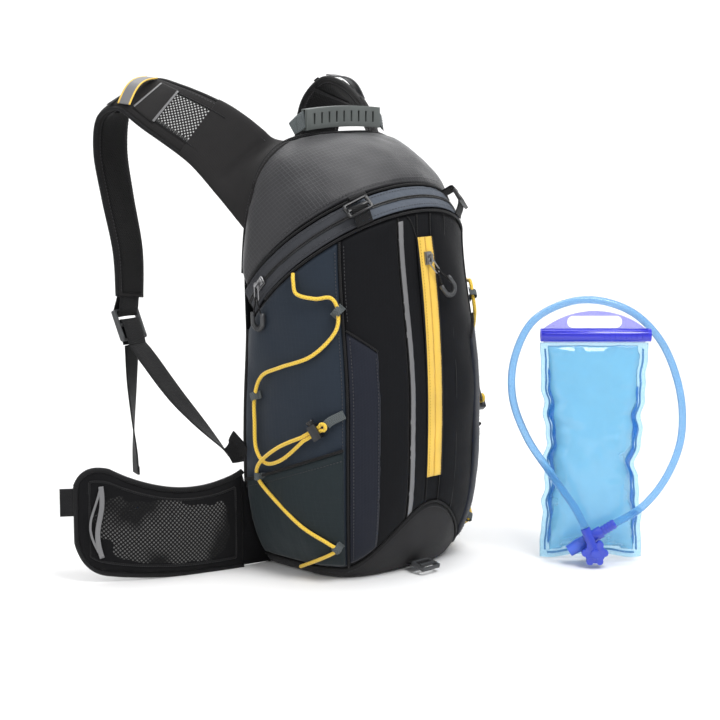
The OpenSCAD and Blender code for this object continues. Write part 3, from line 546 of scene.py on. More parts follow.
RECIPES = {
    ripstop: {
        "black_ripstop": dict(color=(0.0062, 0.0065, 0.0078), rough=0.66, sheen=0.05, bump=0.3,
                              shine=0.08),
        "charcoal_ripstop": dict(color=(0.019, 0.019, 0.0215), grid=4.0, line=0.4, rough=0.42, sheen=0.2,
                                 lift=2.4, bump=0.5, shine=0.36),
        "wing_cloth": dict(color=(0.0055, 0.0055, 0.0062), grid=1.6, line=0.4, rough=0.72, sheen=0.06,
                           shine=0.08),
        "slate_nylon": dict(color=(0.0165, 0.024, 0.036), grid=5.0, line=0.2, rough=0.58, sheen=0.12,
                            lift=1.2),
        "green_grey_nylon": dict(color=(0.0135, 0.0205, 0.0235), grid=5.0, line=0.2, sheen=0.12,
                                 lift=1.2),
        "navy_nylon": dict(color=(0.0105, 0.0125, 0.0205), grid=3.2, line=0.3, sheen=0.1, lift=1.6),
        "base_cloth": dict(color=(0.017, 0.0165, 0.0175), grid=1.6, line=0.4, rough=0.72, sheen=0.12,
                           bump=0.5),
        "sleeve_cloth": dict(color=(0.02, 0.02, 0.023), grid=3.0, sheen=0.1),
        "strap_cloth": dict(color=(0.0135, 0.0128, 0.0132), grid=2.2, line=0.35, rough=0.7, sheen=0.1),
    },
    spacer_mesh: {
        "air_mesh": dict(color=(0.0075, 0.0075, 0.008), under=(0.002, 0.002, 0.002)),
        "open_mesh": dict(color=(0.0045, 0.0045, 0.0052), under=(0.105, 0.105, 0.103), pitch=4.4,
                          hole=0.34, patchy=True),
        "window_mesh": dict(color=(0.012, 0.012, 0.012), under=(0.46, 0.46, 0.46), pitch=4.2, hole=0.31),
    },
    webbing: {
        "zip_grey": dict(color=(0.070, 0.082, 0.103), pitch=1.2, bump=0.4),
        # darker copy of zip_grey: painted shade for the sides of the main zip's band, which turn away from
        # the light
        "zip_dark": dict(color=(0.032, 0.034, 0.040), pitch=1.2, bump=0.4),
        "webbing_black": dict(color=(0.006, 0.006, 0.0068)),
        "webbing_grey": dict(color=(0.078, 0.089, 0.092)),
        "thread": dict(color=(0.05, 0.05, 0.055), pitch=0.8, bump=0.3),
        "thread_yellow": dict(color=(0.35, 0.2, 0.02), pitch=0.8, bump=0.3),
    },
    moulded: {
        "zip_yellow": dict(color=(0.76, 0.49, 0.065), rough=0.5, grain=400.0, Sheen_Weight=0.2),
        "reflective": dict(color=(0.15, 0.15, 0.155), rough=0.38, grain=1400.0, bump=0.25),
        "black_plastic": dict(color=(0.008, 0.008, 0.009), rough=0.34, bump=0.1),
        "grey_plastic": dict(color=(0.045, 0.047, 0.05), rough=0.38),
        "grip_rubber": dict(color=(0.090, 0.101, 0.098), rough=0.5, grain=700.0, bump=0.2),
        "clamp_blue": dict(color=(0.022, 0.025, 0.56), rough=0.25, bump=0.05, Coat_Weight=0.5),
        "valve_blue": dict(color=(0.03, 0.06, 0.52), rough=0.25, bump=0.05, Coat_Weight=0.4),
        "mouth_blue": dict(color=(0.06, 0.14, 0.66), rough=0.3, bump=0.05, Subsurface_Weight=0.1),
    },
    braid: {
        "cord_yellow": dict(color=(0.92, 0.62, 0.05), tint=(0.62, 0.36, 0.02)),
    },
    metal: {
        "metal": dict(color=(0.38, 0.38, 0.39)),
    },
    clear: {
        "film_blue": dict(color=(0.28, 0.70, 0.98), solid=0.74, rough=0.07, coat=0.9),
        # deeper blue copy of the film: painted shade for the folds along the bag's long edges
        "fold_blue": dict(color=(0.03, 0.30, 0.84), solid=0.8, rough=0.08, coat=0.8),
        "flange_blue": dict(color=(0.34, 0.74, 0.97), solid=0.55, grain=0.1),
        "handle_blue": dict(color=(0.24, 0.24, 0.86), solid=0.6, grain=0.05),
        "tube_blue": dict(color=(0.14, 0.43, 0.80), solid=0.7, grain=0.05, rough=0.1),
    },
}
LOOKS = {name: maker(name, **settings) for maker, rows in RECIPES.items()
         for name, settings in rows.items()}


def paint(obj, look):
    obj.data.materials.clear()
    obj.data.materials.append(LOOKS[look])
    return obj


def finish(obj, look, nodes):
    """Paints a piece and hides the CAD nodes it stands for."""
    paint(obj, look)
    if nodes:
        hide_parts(*nodes)


def settle(obj, body_name, look, *nodes, slot=None):
    """Finishes a piece that rides on one body."""
    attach(obj, body_name)
    finish(obj, look, nodes)


def twin(obj):
    """Mirror image, for the right side, of a piece built for the left side."""
    mesh = obj.data.copy()
    mesh.transform(Matrix.Diagonal((-1, 1, 1, 1)))
    mesh.flip_normals()
    return link(bpy.data.objects.new(obj.name.replace("left", "right"), mesh))


def baked(obj):
    """Replaces a mesh by what its modifiers make of it."""
    result = bpy.data.meshes.new_from_object(obj.evaluated_get(bpy.context.evaluated_depsgraph_get()))
    obj.modifiers.clear()
    obj.data = result
    return obj


def add_cloth(obj, pressure):
    """Cloth simulation that swells a closed form, with gravity off."""
    settings = obj.modifiers.new("cloth", "CLOTH").settings
    settings.quality = 5
    settings.mass = 0.3
    settings.use_pressure = True
    settings.uniform_pressure_force = pressure
    settings.effector_weights.gravity = 0


def inflate(obj, cap_mm, voxel=4.0, pressure=4.0, across=(1, 0, 0)):
    """Stuffs a closed form by cloth simulation, moving no point by more than cap_mm, and smooths it."""
    remesh = obj.modifiers.new("remesh", "REMESH")
    remesh.mode = "VOXEL"
    remesh.voxel_size = voxel * MM
    baked(obj)
    start = vertex_places(obj.data)
    add_cloth(obj, pressure)
    for step in range(1, 21):
        bpy.context.scene.frame_set(step)
    end = vertex_places(obj.evaluated_get(bpy.context.evaluated_depsgraph_get()).data)
    move = end - start
    far = np.linalg.norm(move, axis=1, keepdims=True)
    obj.modifiers.clear()
    placed = start + move * np.minimum(1, cap_mm * MM / np.maximum(far, 1e-9))
    obj.data.vertices.foreach_set("co", placed.ravel())
    obj.modifiers.new("smooth", "SUBSURF").levels = 1
    baked(obj)
    bpy.context.scene.frame_set(1)
    shade_smooth(obj.data)
    lay_weave(obj, across)
    return obj


def lay_weave(obj, across):
    """Cloth coordinates in millimetres, seen square on: along a level direction, and up."""
    points = vertex_places(obj.data) / MM
    level_run = points @ unit(np.array(across, float)) + 900
    set_cloth_uv(obj.data, np.stack([level_run, points[:, 2] + 300], axis=-1))


def pair(obj, body_name, look, *nodes, bend=None, root="pack"):
    """Finishes a left piece and its mirror image.

    bend gives the points where the piece leaves its root and where it follows its body; when it is given,
    they are not used, and the piece is left fixed where it was built instead of riding on its body.
    """
    for piece, side, sign in ((obj, "left", 1), (twin(obj), "right", -1)):
        rides_on = body_name.replace("left", side)
        if bend is None:
            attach(piece, rides_on)
        else:
            ends = [(sign * x * MM, y * MM, z * MM) for x, y, z in bend]
            root.replace("left", side)
            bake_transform(piece)
        finish(piece, look, [n.replace("left", side) for n in nodes])


def line_on(surface, u, v, lift=0.0):
    """Points along a line on a surface, raised off it, and the directions out of the surface."""
    u, v = np.broadcast_arrays(np.asarray(u, float), np.asarray(v, float))
    out = normal(surface, u, v)
    return surface(u, v) + out * lift, out


def piping(name, surface, u, v, r=1.3, lift=0.0):
    return tube(name, line_on(surface, u, v, lift)[0], r, 8)


def seam_stitches(name, surface, u, v, lift=0.5):
    return stitches(name, *line_on(surface, u, v, lift))


def pillow(name, outline, place, thick, puff, rings=12, relief=0.0):
    """Soft slab with rounded edges from a closed outline.

    place turns plane points and heights into points in space.
    """
    outline = np.asarray(outline, float)
    share = 1 - np.linspace(0, 1, rings + 1) ** 1.7 * 0.985
    rim = np.concatenate([[0.0], np.sin(np.linspace(0.35, 1, rings) * math.pi / 2)])
    flat = outline.mean(0) + (outline - outline.mean(0)) * share[:, None, None]
    bumps = relief * fractal(np.concatenate([flat, np.zeros((*flat.shape[:2], 1))], axis=-1), 30.0, 1.0)
    height = (thick / 2) * rim[:, None] + puff * (1 - share[:, None] ** 2) + bumps * rim[:, None]
    low = np.broadcast_to(-(thick / 2) * rim[:, None], height.shape)
    front = place(flat, height)
    back = place(flat[1:], low[1:])
    points = np.concatenate([back[::-1].reshape(-1, 3), front.reshape(-1, 3)])
    uv = np.concatenate([flat[1:][::-1].reshape(-1, 2), flat.reshape(-1, 2)])
    return add_mesh(name, points, ring_faces(2 * rings + 1, len(outline)), uv + 300)


def rounded_outline(w, h, r, k=6):
    x, y = w / 2 - r, h / 2 - r
    corners = [(x, y, 0), (-x, y, 90), (-x, -y, 180), (x, -y, 270)]
    turn = [(x, y, math.radians(a + 90 * i / k)) for x, y, a in corners for i in range(k + 1)]
    return np.array([(x + r * math.cos(a), y + r * math.sin(a)) for x, y, a in turn])


def dense(outline, step=5.0):
    """The same closed outline with points about a step apart."""
    outline = np.asarray(outline, float)
    loop = np.concatenate([outline, outline[:1]])
    run = distance(loop)
    at = np.linspace(0, run[-1], int(run[-1] / step) + 1)[:-1]
    return sample(at, run, loop)


def upright(y, x=0.0, z=0.0):
    """Puts a slab in the plane of the back, its puffed side towards the wearer."""
    return lambda flat, height: stack(x - flat[..., 0], y + height, z + flat[..., 1])


def hard(node, look, bevel=0.35, segments=2):
    """Shows a CAD node, with its edges softened."""
    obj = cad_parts[node]
    paint(obj, look)
    weld = obj.modifiers.new("weld", "WELD")
    weld.merge_threshold = 0.00002
    soften = obj.modifiers.new("soften", "BEVEL")
    soften.width = bevel * MM
    soften.segments = segments
    soften.limit_method = "ANGLE"
    soften.angle_limit = math.radians(35)
    soften.harden_normals = True
    shade_smooth(obj.data)


# ---------- body panels ----------
def skirt_v(u):
    rise = np.sin(np.radians(np.clip((np.asarray(u, float) - 38) * 90 / 52, 0, 180)))
    return 0.035 + 0.19 * np.maximum(0, rise) ** 2


def above_skirt(u):
    return skirt_v(u) + 0.006


under_band = level(0.985)


POCKET = (-CORNER + 4, SEAM - 2)  # perimeter angles of the side pocket's ends


def slack(depth, size, seed):
    """Soft dents of a given depth, for cloth over a half-full bag."""
    return lambda base, up: depth * fractal(base, size, seed)


def pocket_slack(base, up):
    """Elastic cloth that stands off the side: gathered along its mouth, with folds that run down."""
    folds = 1.2 * fractal(base * np.array([1.0, 1.0, 0.25]), 16.0, 5.0)
    return folds + 1.6 * fractal(base, 60.0, 6.0) + 1.5


def above_skirt_seam(u):
    return skirt_v(u) + 0.02


def gusset_top(u):
    return lerp(0.74, 0.66, (u - SEAM) / (GUSSET - SEAM))


def build_panels():
    sag = slack(1.7, 75.0, 2.0)
    fronts = (("left", SEAM + 0.5, STRIP - 1.6, 26), ("centre", STRIP - 1.1, 85.2, 10),
              ("right", 94.8, 180 - SEAM - 0.5, 36))
    for place, start, end, cells in fronts:
        panel = sheet("front_cloth_" + place, body, (start, end), above_skirt, under_band, (cells, 90),
                      relief=sag)
        settle(panel, "pack", "black_ripstop", "front_panel_" + place)
    side = sheet("side_cloth_left", body, (-CORNER, SEAM - 0.5), above_skirt, under_band, (44, 90),
                 relief=slack(2.6, 55.0, 9.0))
    pair(side, "pack", "slate_nylon", "side_panel_left")
    gusset = sheet("gusset_cloth_left", body, (SEAM + 1, GUSSET), above_skirt_seam, gusset_top, (16, 60),
                   1.6, 2.4, relief=slack(0.8, 30.0, 4.0))
    pair(gusset, "pack", "navy_nylon", "gusset_left")
    pocket = sheet("pocket_cloth_left", body, POCKET, above_skirt_seam, pocket_top, (48, 36), 2.2, 3.2,
                   relief=pocket_slack)
    pair(pocket, "pack", "green_grey_nylon", "side_pocket_left")


def build_base():
    skirt = sheet("skirt_cloth", body, (-CORNER, 180 + CORNER), level(0), skirt_v, (150, 20), 2.4, 0.2,
                  crown=0.6, relief=slack(0.9, 40.0, 12.0))
    settle(skirt, "pack", "base_cloth", "base_skirt")
    rim = body(np.linspace(-CORNER, 180 + CORNER, 100), 0)[:, :2]
    base = pillow("base_cloth_panel", lerp(rim, rim.mean(0), 0.045), on_floor, 2.6, 0.0)
    settle(base, "pack", "base_cloth", "base_panel")


def on_floor(flat, height):
    return stack(flat[..., 0], flat[..., 1], 1.6 - height * 0.5)


def pocket_top(u):
    return lerp(0.34, 0.42, (u + CORNER) / (SEAM + CORNER))


def build_lining():
    """Dark inner cloth, so that no light shows between the panels."""
    around = (-CORNER + 0.4, 180 + CORNER - 0.4)
    low = sheet("lining_low", body, around, level(0.01), level(0.999), (120, 40), 0.8, -3.4, 0, 0)
    high = sheet("lining_high", cap, (-18, 198), level(0), level(0.97), (100, 20), 0.8, -3.4, 0, 0)
    middle = sheet("lining_band", band_surface, (-24, 204), level(0), level(1), (120, 4), 0.8, -2.6, 0, 0)
    settle(join("lining", [low, high, middle]), "pack", "black_ripstop")


def build_top():
    top = sheet("top_cloth", cap, (-15, 195), level(0.045), level(0.955), (130, 44), 2.2, 0.3,
                crown=1.4, relief=slack(3.0, 46.0, 20.0))
    settle(top, "pack", "charcoal_ripstop", "top_panel")
    yoke_cloth = sheet("yoke_cloth", yoke, (4, 176), level(0.08), level(0.985), (80, 16), 2.2)
    settle(yoke_cloth, "pack", "charcoal_ripstop", "yoke")


def yoke(u, w):
    """The part of the back between its own arch, at w 1, and the arch of the top, at w 0."""
    u, w = np.broadcast_arrays(np.asarray(u, float), np.asarray(w, float))
    low = arch(u, 116.0, 0.0, 106.0) + np.array([0, 4.0, 0])
    swell = (w * (1 - w) * np.sin(np.radians((u + CORNER) / (180 + 2 * CORNER) * 180)))[..., None]
    return lerp(arch(u), low, w[..., None]) + np.array([0, 20.0, 12.0]) * swell


PAD_X, PAD_Y, PAD_Z = (-45, 45), 78.8, (95, 195, 295)


def build_back():
    edge = body(-CORNER, np.linspace(0, 1, 16))[:, [0, 2]]
    over = arch(np.linspace(-CORNER, 180 + CORNER, 60)[1:-1], 116.0, 0.0, 109.0)[:, [0, 2]]
    other = edge[::-1] * np.array([-1.0, 1.0])
    outline = dense(np.concatenate([edge, over, other]), 8.0)[::-1] * np.array([-1.0, 1.0])
    back = pillow("back_cloth", outline, upright(73), 4.0, 0.6, 16, 0.5)
    settle(back, "pack", "black_ripstop", "back_panel")
    outline = dense(rounded_outline(66, 82, 14), 4.0)
    places = [upright(PAD_Y, x, z) for x in PAD_X for z in PAD_Z]
    pads = [pillow("pad", outline, place, 6.0, 0.8, 12, 0.25) for place in places]
    pads = inflate(join("back_pads_cloth", pads), 2.2, 3.5)
    settle(pads, "pack", "air_mesh", "back_pads")
    outline = dense(rounded_outline(170, 240, 12), 8.0)
    sleeve = pillow("sleeve_cloth_panel", outline, upright(20, 0, 165), 1.2, 0.4)
    settle(sleeve, "pack", "sleeve_cloth", "reservoir_sleeve")


def build_seams():
    """Corded seams between the panels, in black binding."""
    rows = np.linspace(0, 1, 90)
    around = np.linspace(-CORNER, 180 + CORNER, 220)
    mouth = np.linspace(*POCKET, 60)
    gusset = np.linspace(SEAM + 1, GUSSET, 24)
    left = [
        piping("seam_side", body, SEAM, lerp(above_skirt(SEAM), 0.985, rows), 1.3, 0.2),
        piping("seam_corner", body, -CORNER, rows * 0.985, 1.8, -0.4),
        piping("seam_strip", body, STRIP - 1.3, lerp(above_skirt(STRIP), 0.985, rows), 0.7, 0.2),
        piping("pocket_edge", body, mouth, pocket_top(mouth), 1.6, 3.6),
        piping("gusset_edge", body, gusset, lerp(0.74, 0.66, np.linspace(0, 1, 24)), 1.0, 2.4),
        piping("front_zip_seam", body, 85.6, lerp(above_skirt(85.6), 0.985, rows), 0.7, 0.0),
    ]
    pair(join("seams_left", left), "pack", "webbing_black")
    whole = [
        piping("seam_skirt", body, around, skirt_v(around) + 0.003, 1.2, 0.3),
        piping("seam_low_band", body, around[20:-20], 0.992, 1.3, 0.2),
        piping("seam_top_band", cap, around[12:-12], 0.02, 1.2, 0.2),
        piping("seam_back_arch", cap, around[8:-8], 0.975, 2.0, 0.2),
        piping("seam_pocket_curve", body, lerp(79.5, 85.6, rows), lerp(0.982, 0.91, rows**1.6), 0.7, 0.6),
    ]
    settle(join("seams", whole), "pack", "webbing_black")


def build_stitching():
    rows = np.linspace(0, 1, 120)
    along_pocket = np.linspace(-CORNER + 5, SEAM - 3, 60)
    left = [
        seam_stitches("t", body, SEAM + 2.2, lerp(0.76, 0.975, rows), 1.2),
        seam_stitches("t", body, GUSSET - 1.2, lerp(skirt_v(GUSSET) + 0.03, 0.65, rows), 3.0),
        seam_stitches("t", body, SEAM + 2.6, lerp(skirt_v(SEAM) + 0.03, 0.72, rows), 2.8),
        seam_stitches("t", body, along_pocket, pocket_top(along_pocket) - 0.028, 5.4),
        seam_stitches("t", body, SEAM - 2.4, lerp(0.05, 0.97, rows), 1.0),
    ]
    pair(join("stitches_left", left), "pack", "thread")
    around = np.linspace(-CORNER + 2, 178 + CORNER, 260)
    whole = [
        seam_stitches("t", body, around, skirt_v(around) - 0.012, 1.0),
        seam_stitches("t", cap, around[16:-16], 0.085, 1.6),
        seam_stitches("t", cap, around[16:-16], 0.925, 1.6),
    ]
    settle(join("stitches", whole), "pack", "thread")


# ---------- zips ----------
def band_surface(u, w):
    u, w = np.broadcast_arrays(np.asarray(u, float), np.asarray(w, float))
    return zip_point(u, lerp(-BAND_W / 2, BAND_W / 2, w), ZIP_R)


def zip_tape(name, span, lo, hi, seed):
    """One side of the zip, gathered where it is sewn to the body."""
    def gathers(base, up):
        return 0.5 * fractal(base, 9.0, seed) * np.exp(-up / 5) + 0.25 * fractal(base, 14.0, seed)

    return sheet(name, band_surface, span, level(lo), level(hi), (300, 10), 1.4, 0.5, 0.5, 0.3, gathers)


def coil(name, centres, outs, width=3.2, pitch=1.5):
    """Closed coil of a zip: a flattened helix along a line."""
    run = distance(centres)
    at = np.arange(0, run[-1], pitch / 8)
    place = sample(at, run, centres)
    out = unit(sample(at, run, outs))
    side = np.cross(out, frames(place))
    turn = at / pitch * 2 * math.pi
    points = place + side * (np.cos(turn) * width / 2)[:, None] + out * (np.sin(turn) * 0.55)[:, None]
    return tube(name, points, 0.38, 5)


def build_main_zip():
    span = (-20.0, 200.0)
    front = (56.0, 124.0)
    lower = zip_tape("zip_tape_low", front, 0.02, 0.47, 1.0)
    upper = zip_tape("zip_tape_high", front, 0.53, 0.98, 2.0)
    settle(join("main_zip_tape", [lower, upper]), "pack", "zip_grey", "main_zip_band")
    # The band's sides take the darker copy of the grey tape: painted shade where they turn away from the
    # light.
    side = (span[0], front[0])
    lower = zip_tape("side_tape_low", side, 0.02, 0.47, 3.0)
    upper = zip_tape("side_tape_high", side, 0.53, 0.98, 4.0)
    pair(join("main_zip_side_left", [lower, upper]), "pack", "zip_dark")
    u = np.linspace(*span, 420)
    line, out = line_on(band_surface, u, 0.5, 0.1)
    teeth = coil("main_zip_coil", line, out)
    edges = [piping("e", band_surface, u, w, 0.5, 0.9) for w in (0.455, 0.545)]
    settle(join("main_zip_coil", [teeth] + edges), "pack", "black_plastic")
    rows = [seam_stitches("t", band_surface, u, w, 1.2) for w in (0.13, 0.87)]
    settle(join("main_zip_stitches", rows), "pack", "thread", slot="zip_grey")


ZIP_ARC_Y, ZIP_ARC_Z, ZIP_ARC_R = 976.107, 156.906, 1063.09  # circle that the pocket zip follows
ZIP_ARC = (-3.063, 9.948)


def front_tape(x, share):
    x, share = np.broadcast_arrays(np.asarray(x, float), np.asarray(share, float))
    a = np.radians(lerp(ZIP_ARC[0], ZIP_ARC[1], share))
    return stack(x, ZIP_ARC_Y - ZIP_ARC_R * np.cos(a), ZIP_ARC_Z + ZIP_ARC_R * np.sin(a))


def build_front_zip():
    facing = sheet("pocket_zip_facing", body, (84.0, 96.0), above_skirt, under_band, (12, 90),
                   1.4, -0.6, 0.2, 0.0)
    settle(facing, "pack", "black_ripstop")
    halves = [
        sheet("h", front_tape, ends, level(0.004), level(0.996), (8, 110), 1.0, 1.4, 0.5, 0.5)
        for ends in ((-10.0, -0.35), (0.35, 10.0))
    ]
    settle(join("pocket_zip_tape", halves), "pack", "zip_yellow", "front_zip_tape")
    rows = np.linspace(0.006, 0.994, 120)
    line, out = line_on(front_tape, 0, rows, 0.9)
    settle(coil("pocket_zip_coil", line, out, 1.6, 1.7), "pack", "zip_yellow")
    seams = [stitches("t", *line_on(front_tape, x, rows, 2.1), 3.0, 1.9, 0.35) for x in (-8.4, 8.4)]
    settle(join("pocket_zip_stitches", seams), "pack", "thread_yellow")
    hems = [tube("e", line_on(front_tape, x, rows, 0.5)[0], 0.8, 6) for x in (-10.9, 10.9)]
    settle(join("pocket_zip_hems", hems), "pack", "webbing_black")


def rotate(points, axis, degrees):
    turn = np.array(Matrix.Rotation(math.radians(degrees), 3, axis))
    return points @ turn.T


def main_slider_place(points, u=-4.0, off=ZIP_R + 0.9):
    """From the slider's own frame, with x along the zip and z out of it, to the pack's."""
    turned = rotate(rotate(points, "X", 90), "Z", 90) + np.array([off, 0, 0])
    turned = rotate(turned, "Z", 180 + u)
    return rotate(turned, "X", -math.degrees(ZIP_TILT)) + np.array([0, ZIP_CY, ZIP_CZ])


def front_slider_place(points, angle=ZIP_ARC[1] - 1.2, off=1.5):
    turned = rotate(points, "X", 90) + np.array([0, -ZIP_ARC_R - off, 0])
    return rotate(turned, "X", -angle) + np.array([0, ZIP_ARC_Y, ZIP_ARC_Z])


POST_X, PULL_LIFT, RING_L, GRIP_R, PULL_L = 3.0, 4.3, 12.0, 7.4, 46.0
FRONT_PULL_TURN = 38  # degrees that the pocket zip's pull hangs to one side


def pull_parts(name, place):
    """Ring, cord loop and moulded grip of a zip pull that hangs along -y from its post."""
    a = circle(48)
    oval = stack(2.95 * np.cos(a), np.sin(a) * 2.95 - RING_L * (np.sin(a) < 0), 0)
    ring = tube(name + "_ring", place(oval), 0.72, 8, closed=True)
    tail = -PULL_L + GRIP_R + 2.6
    half = [(GRIP_R - 0.3, tail - 1, 0.1), (4.4, tail + 12, 0.3), (2.2, -RING_L - 6, 0.6),
            (1.5, -RING_L - 1, 1.0)]
    legs = [(-x, y, z) for x, y, z in half] + [(0, -RING_L + 0.4, 1.7)] + half[::-1]
    loop = tube(name + "_loop", place(curve(legs, 60)), 0.8, 8)
    sweep_a = np.radians(np.linspace(-10, 190, 40))
    bend = stack(GRIP_R * np.cos(sweep_a), tail - GRIP_R * np.sin(sweep_a), 0)
    start = [(GRIP_R - 0.2, tail + 9, 0), (GRIP_R + 0.1, tail + 5, 0)]
    end = [(-x, y, z) for x, y, z in start[::-1]]
    grip = tube(name + "_grip", place(np.concatenate([start, bend, end])), 2.4, 12, flatness=0.9)
    rings = [place(rib_ring(b, tail)) for b in np.linspace(20, 160, 11)]
    ribs = [tube(name + "_rib", points, 0.42, 6, closed=True) for points in rings]
    return ring, loop, join(name + "_grip", [grip] + ribs)


def rib_ring(degrees, tail):
    """Small raised ring round the grip's bend."""
    b = np.radians(degrees)
    a = circle(16)
    across = GRIP_R + 2.4 * np.cos(a)
    return stack(across * math.cos(b), tail - across * math.sin(b), 2.3 * np.sin(a))


def main_pull_place(points):
    hung = rotate(points, "Z", -math.degrees(ZIP_TILT))
    return main_slider_place(hung + [-POST_X, 0, PULL_LIFT])


def front_pull_place(points):
    return front_slider_place(rotate(points, "Z", FRONT_PULL_TURN) + [0, -POST_X, PULL_LIFT])


def build_pulls():
    for name, place in (("main", main_pull_place), ("front", front_pull_place)):
        ring, loop, grip = pull_parts(name + "_pull", place)
        body_name = name + "_pull"
        settle(ring, body_name, "metal", name + "_zip_pull")
        settle(loop, body_name, "webbing_black")
        settle(grip, body_name, "grey_plastic")
        hard(name + "_zip_slider", "metal", 0.25)


def strip_foot(u):
    return skirt_v(u) + 0.012


def build_strip():
    strip = sheet("reflective_tape", body, (STRIP - 1.5, STRIP + 1.5), strip_foot, level(0.975), (6, 110),
                  0.9, 1.0, 0.4, 0.2)
    settle(strip, "pack", "reflective", "reflective_strip")


# ---------- handle ----------
def build_handle():
    rows = [(-64, 50, 444.5), (-60, 47.4, 447.6), (-54, 45.6, 451.6), (-49, 45, 453.2)]
    narrow = np.stack([np.linspace(0.66, 1, 25), np.ones(25)], axis=-1)
    ends = ribbon("handle_end_left", curve(rows, 24), [0, 0.2, 1.0], 18, 2.0, narrow)
    fold = ribbon("f", curve([(-64.6, 49.4, 443), (-60.4, 46.4, 445.8), (-55, 44.4, 449.6)], 14),
                  [0, 0.25, 1.0], 11.5, 1.1)
    whole = join("handle_end_left", [ends, fold])
    pair(whole, "handle", "webbing_grey")
    core = ribbon("handle_core", curve([(-50, 45, 453), (0, 45, 453), (50, 45, 453)], 20),
                  [0, 0, 1.0], 12, 2.0)
    settle(core, "handle", "webbing_grey", "handle_webbing")
    hard("handle_grip", "grip_rubber", 0.9, 3)
    rows = []
    for side in (-1, 1):
        for x in (57.0, 61.0):
            t = np.linspace(-6, 6, 12)
            line = stack(side * (x + 0 * t), 47.6 - (x - 57) * 0.1 - 1.4 + 0.1 * t, 448.4 + t)
            rows.append(stitches("t", line, [0, -1.0, 0.2], 2.6, 1.8))
    settle(join("handle_stitches", rows), "handle", "thread", slot="webbing_grey")


# ---------- elastic cord ----------
TABS = [(41, 0.80, 25), (-12, 0.66, 0), (-10, 0.36, -12), (37, 0.125, 40)]
LOCK_U, LOCK_V, LOCK_TURN, STRAND_Y, CORD_R = 29.0, 0.487, 18.0, 1.95, 1.9


def stand(surface, u, v):
    """Origin and axes, z out of the surface and x along the perimeter, at a place on it."""
    z = normal(surface, np.float64(u), np.float64(v))
    across = unit(surface(u + 1.0, v) - surface(u - 1.0, v))
    x = unit(across - z * np.dot(across, z))
    return surface(u, v), np.array([x, np.cross(z, x), z])


def on_body(u, v, off=5.6):
    origin, axes = stand(body, u, v)
    return origin + off * axes[2]


def lock_frame():
    origin, axes = stand(body, LOCK_U, LOCK_V)
    return origin + 10 * axes[2], turned_axes(axes, LOCK_TURN)


CORD_DOWN = [  # perimeter angle, height share and distance off the body, from the zip to the lock
    (17, 0.982, 2.2), (18, 0.955), (20, 0.91), (30, 0.865), (38, 0.845), (41, 0.80), (39, 0.745),
    (27, 0.705), (8, 0.715), (-6, 0.72), (-12, 0.66), (-12.5, 0.56), (-11, 0.46, 6.2), (-3, 0.405, 7),
    (10, 0.415, 8),
]
CORD_ON = [  # the same, from the lock to the cord's lower end
    (8, 0.455, 11), (-6, 0.41, 10.4), (-10, 0.36, 7), (-2, 0.30, 7), (18, 0.20, 7), (33, 0.145, 7),
    (37, 0.125, 7), (31, 0.10, 7), (6, 0.045, 6.4),
]
TAB_PATH = [(-7, 1.6), (-4.2, 2.2), (-3.5, 4.6), (-2.6, 7.4), (0, 8.6), (2.6, 7.4), (3.5, 4.6), (4.2, 2.2),
            (7, 1.6)]  # across the cord and off the body


def cord_points():
    origin, axes = lock_frame()

    def lock(x, y):
        return origin + x * axes[0] + y * axes[1]

    upper = [on_body(*row) for row in CORD_DOWN] + [lock(-16, -STRAND_Y)]
    a = np.radians(np.arange(-75, 76, 15))
    turns = [lock(x, y) for x, y in zip(8 + 4 * np.cos(a), 3.4 * np.sin(a))]
    through = [lock(-8, -STRAND_Y), lock(6, -STRAND_Y)] + turns + [lock(6, STRAND_Y), lock(-8, STRAND_Y)]
    lower = [lock(-16, STRAND_Y)] + [on_body(*row) for row in CORD_ON]
    return np.concatenate([curve(upper, 190), through, curve(lower, 140)])


def turned_axes(axes, degrees):
    """The axes turned about the last of them."""
    turn = math.radians(degrees)
    x = math.cos(turn) * axes[0] + math.sin(turn) * axes[1]
    return np.array([x, np.cross(axes[2], x), axes[2]])


def cord_tab(u, v, turn):
    origin, axes = stand(body, u, v)
    x, y, z = turned_axes(axes, turn)
    line = np.array([origin + across * x + (off + 1.0) * z for across, off in TAB_PATH])
    return ribbon("tab", curve(line, 40), y, 8.0, 1.1)


def build_cords():
    cord = tube("elastic_cord_line_left", cord_points(), CORD_R, 12)
    pair(cord, "pack", "cord_yellow", "elastic_cord_left")
    tabs = join("cord_tabs_left", [cord_tab(*row) for row in TABS])
    pair(tabs, "pack", "webbing_grey", "cord_loops_left")
    for side in ("left", "right"):
        hard("cord_lock_" + side, "black_plastic", 0.6, 3)
        hard("cord_lock_button_" + side, "black_plastic", 0.35, 2)
    origin, (x, y, z) = lock_frame()
    near = on_body(SEAM - 1.5, LOCK_V + 0.03, 3.0)
    grip = [origin + 12.6 * x - 2.6 * z, origin + 18 * x - 5 * z + 1.2 * y, near]
    pull = ribbon("lock_tab_left", curve(grip, 16), y, 9.0, 1.2)
    pair(pull, "pack", "webbing_grey")


# ---------- helmet-net buckles ----------
BUCKLE_U = 58.0
BUCKLE_LOOP = [(-1.5, 15.4), (1.5, 15.0), (6, 14.6), (10.4, 14.4), (12.3, 13.2), (12.2, 11.2),
               (10.4, 10.2), (9.6, 11.4)]  # off the zip circle and along its axis
BUCKLE_TAIL = [(12.0, 2.6), (12.6, 0.4), (11.0, -2.2), (7, -7.4), (2.4, -11.5), (0.4, -14)]
BOTTOM_LOOP = [(-57.5, 7), (-62, 7.2), (-67.6, 7.4), (-70.2, 8.0), (-69.6, 9.4), (-66, 9.4), (-60, 9)]


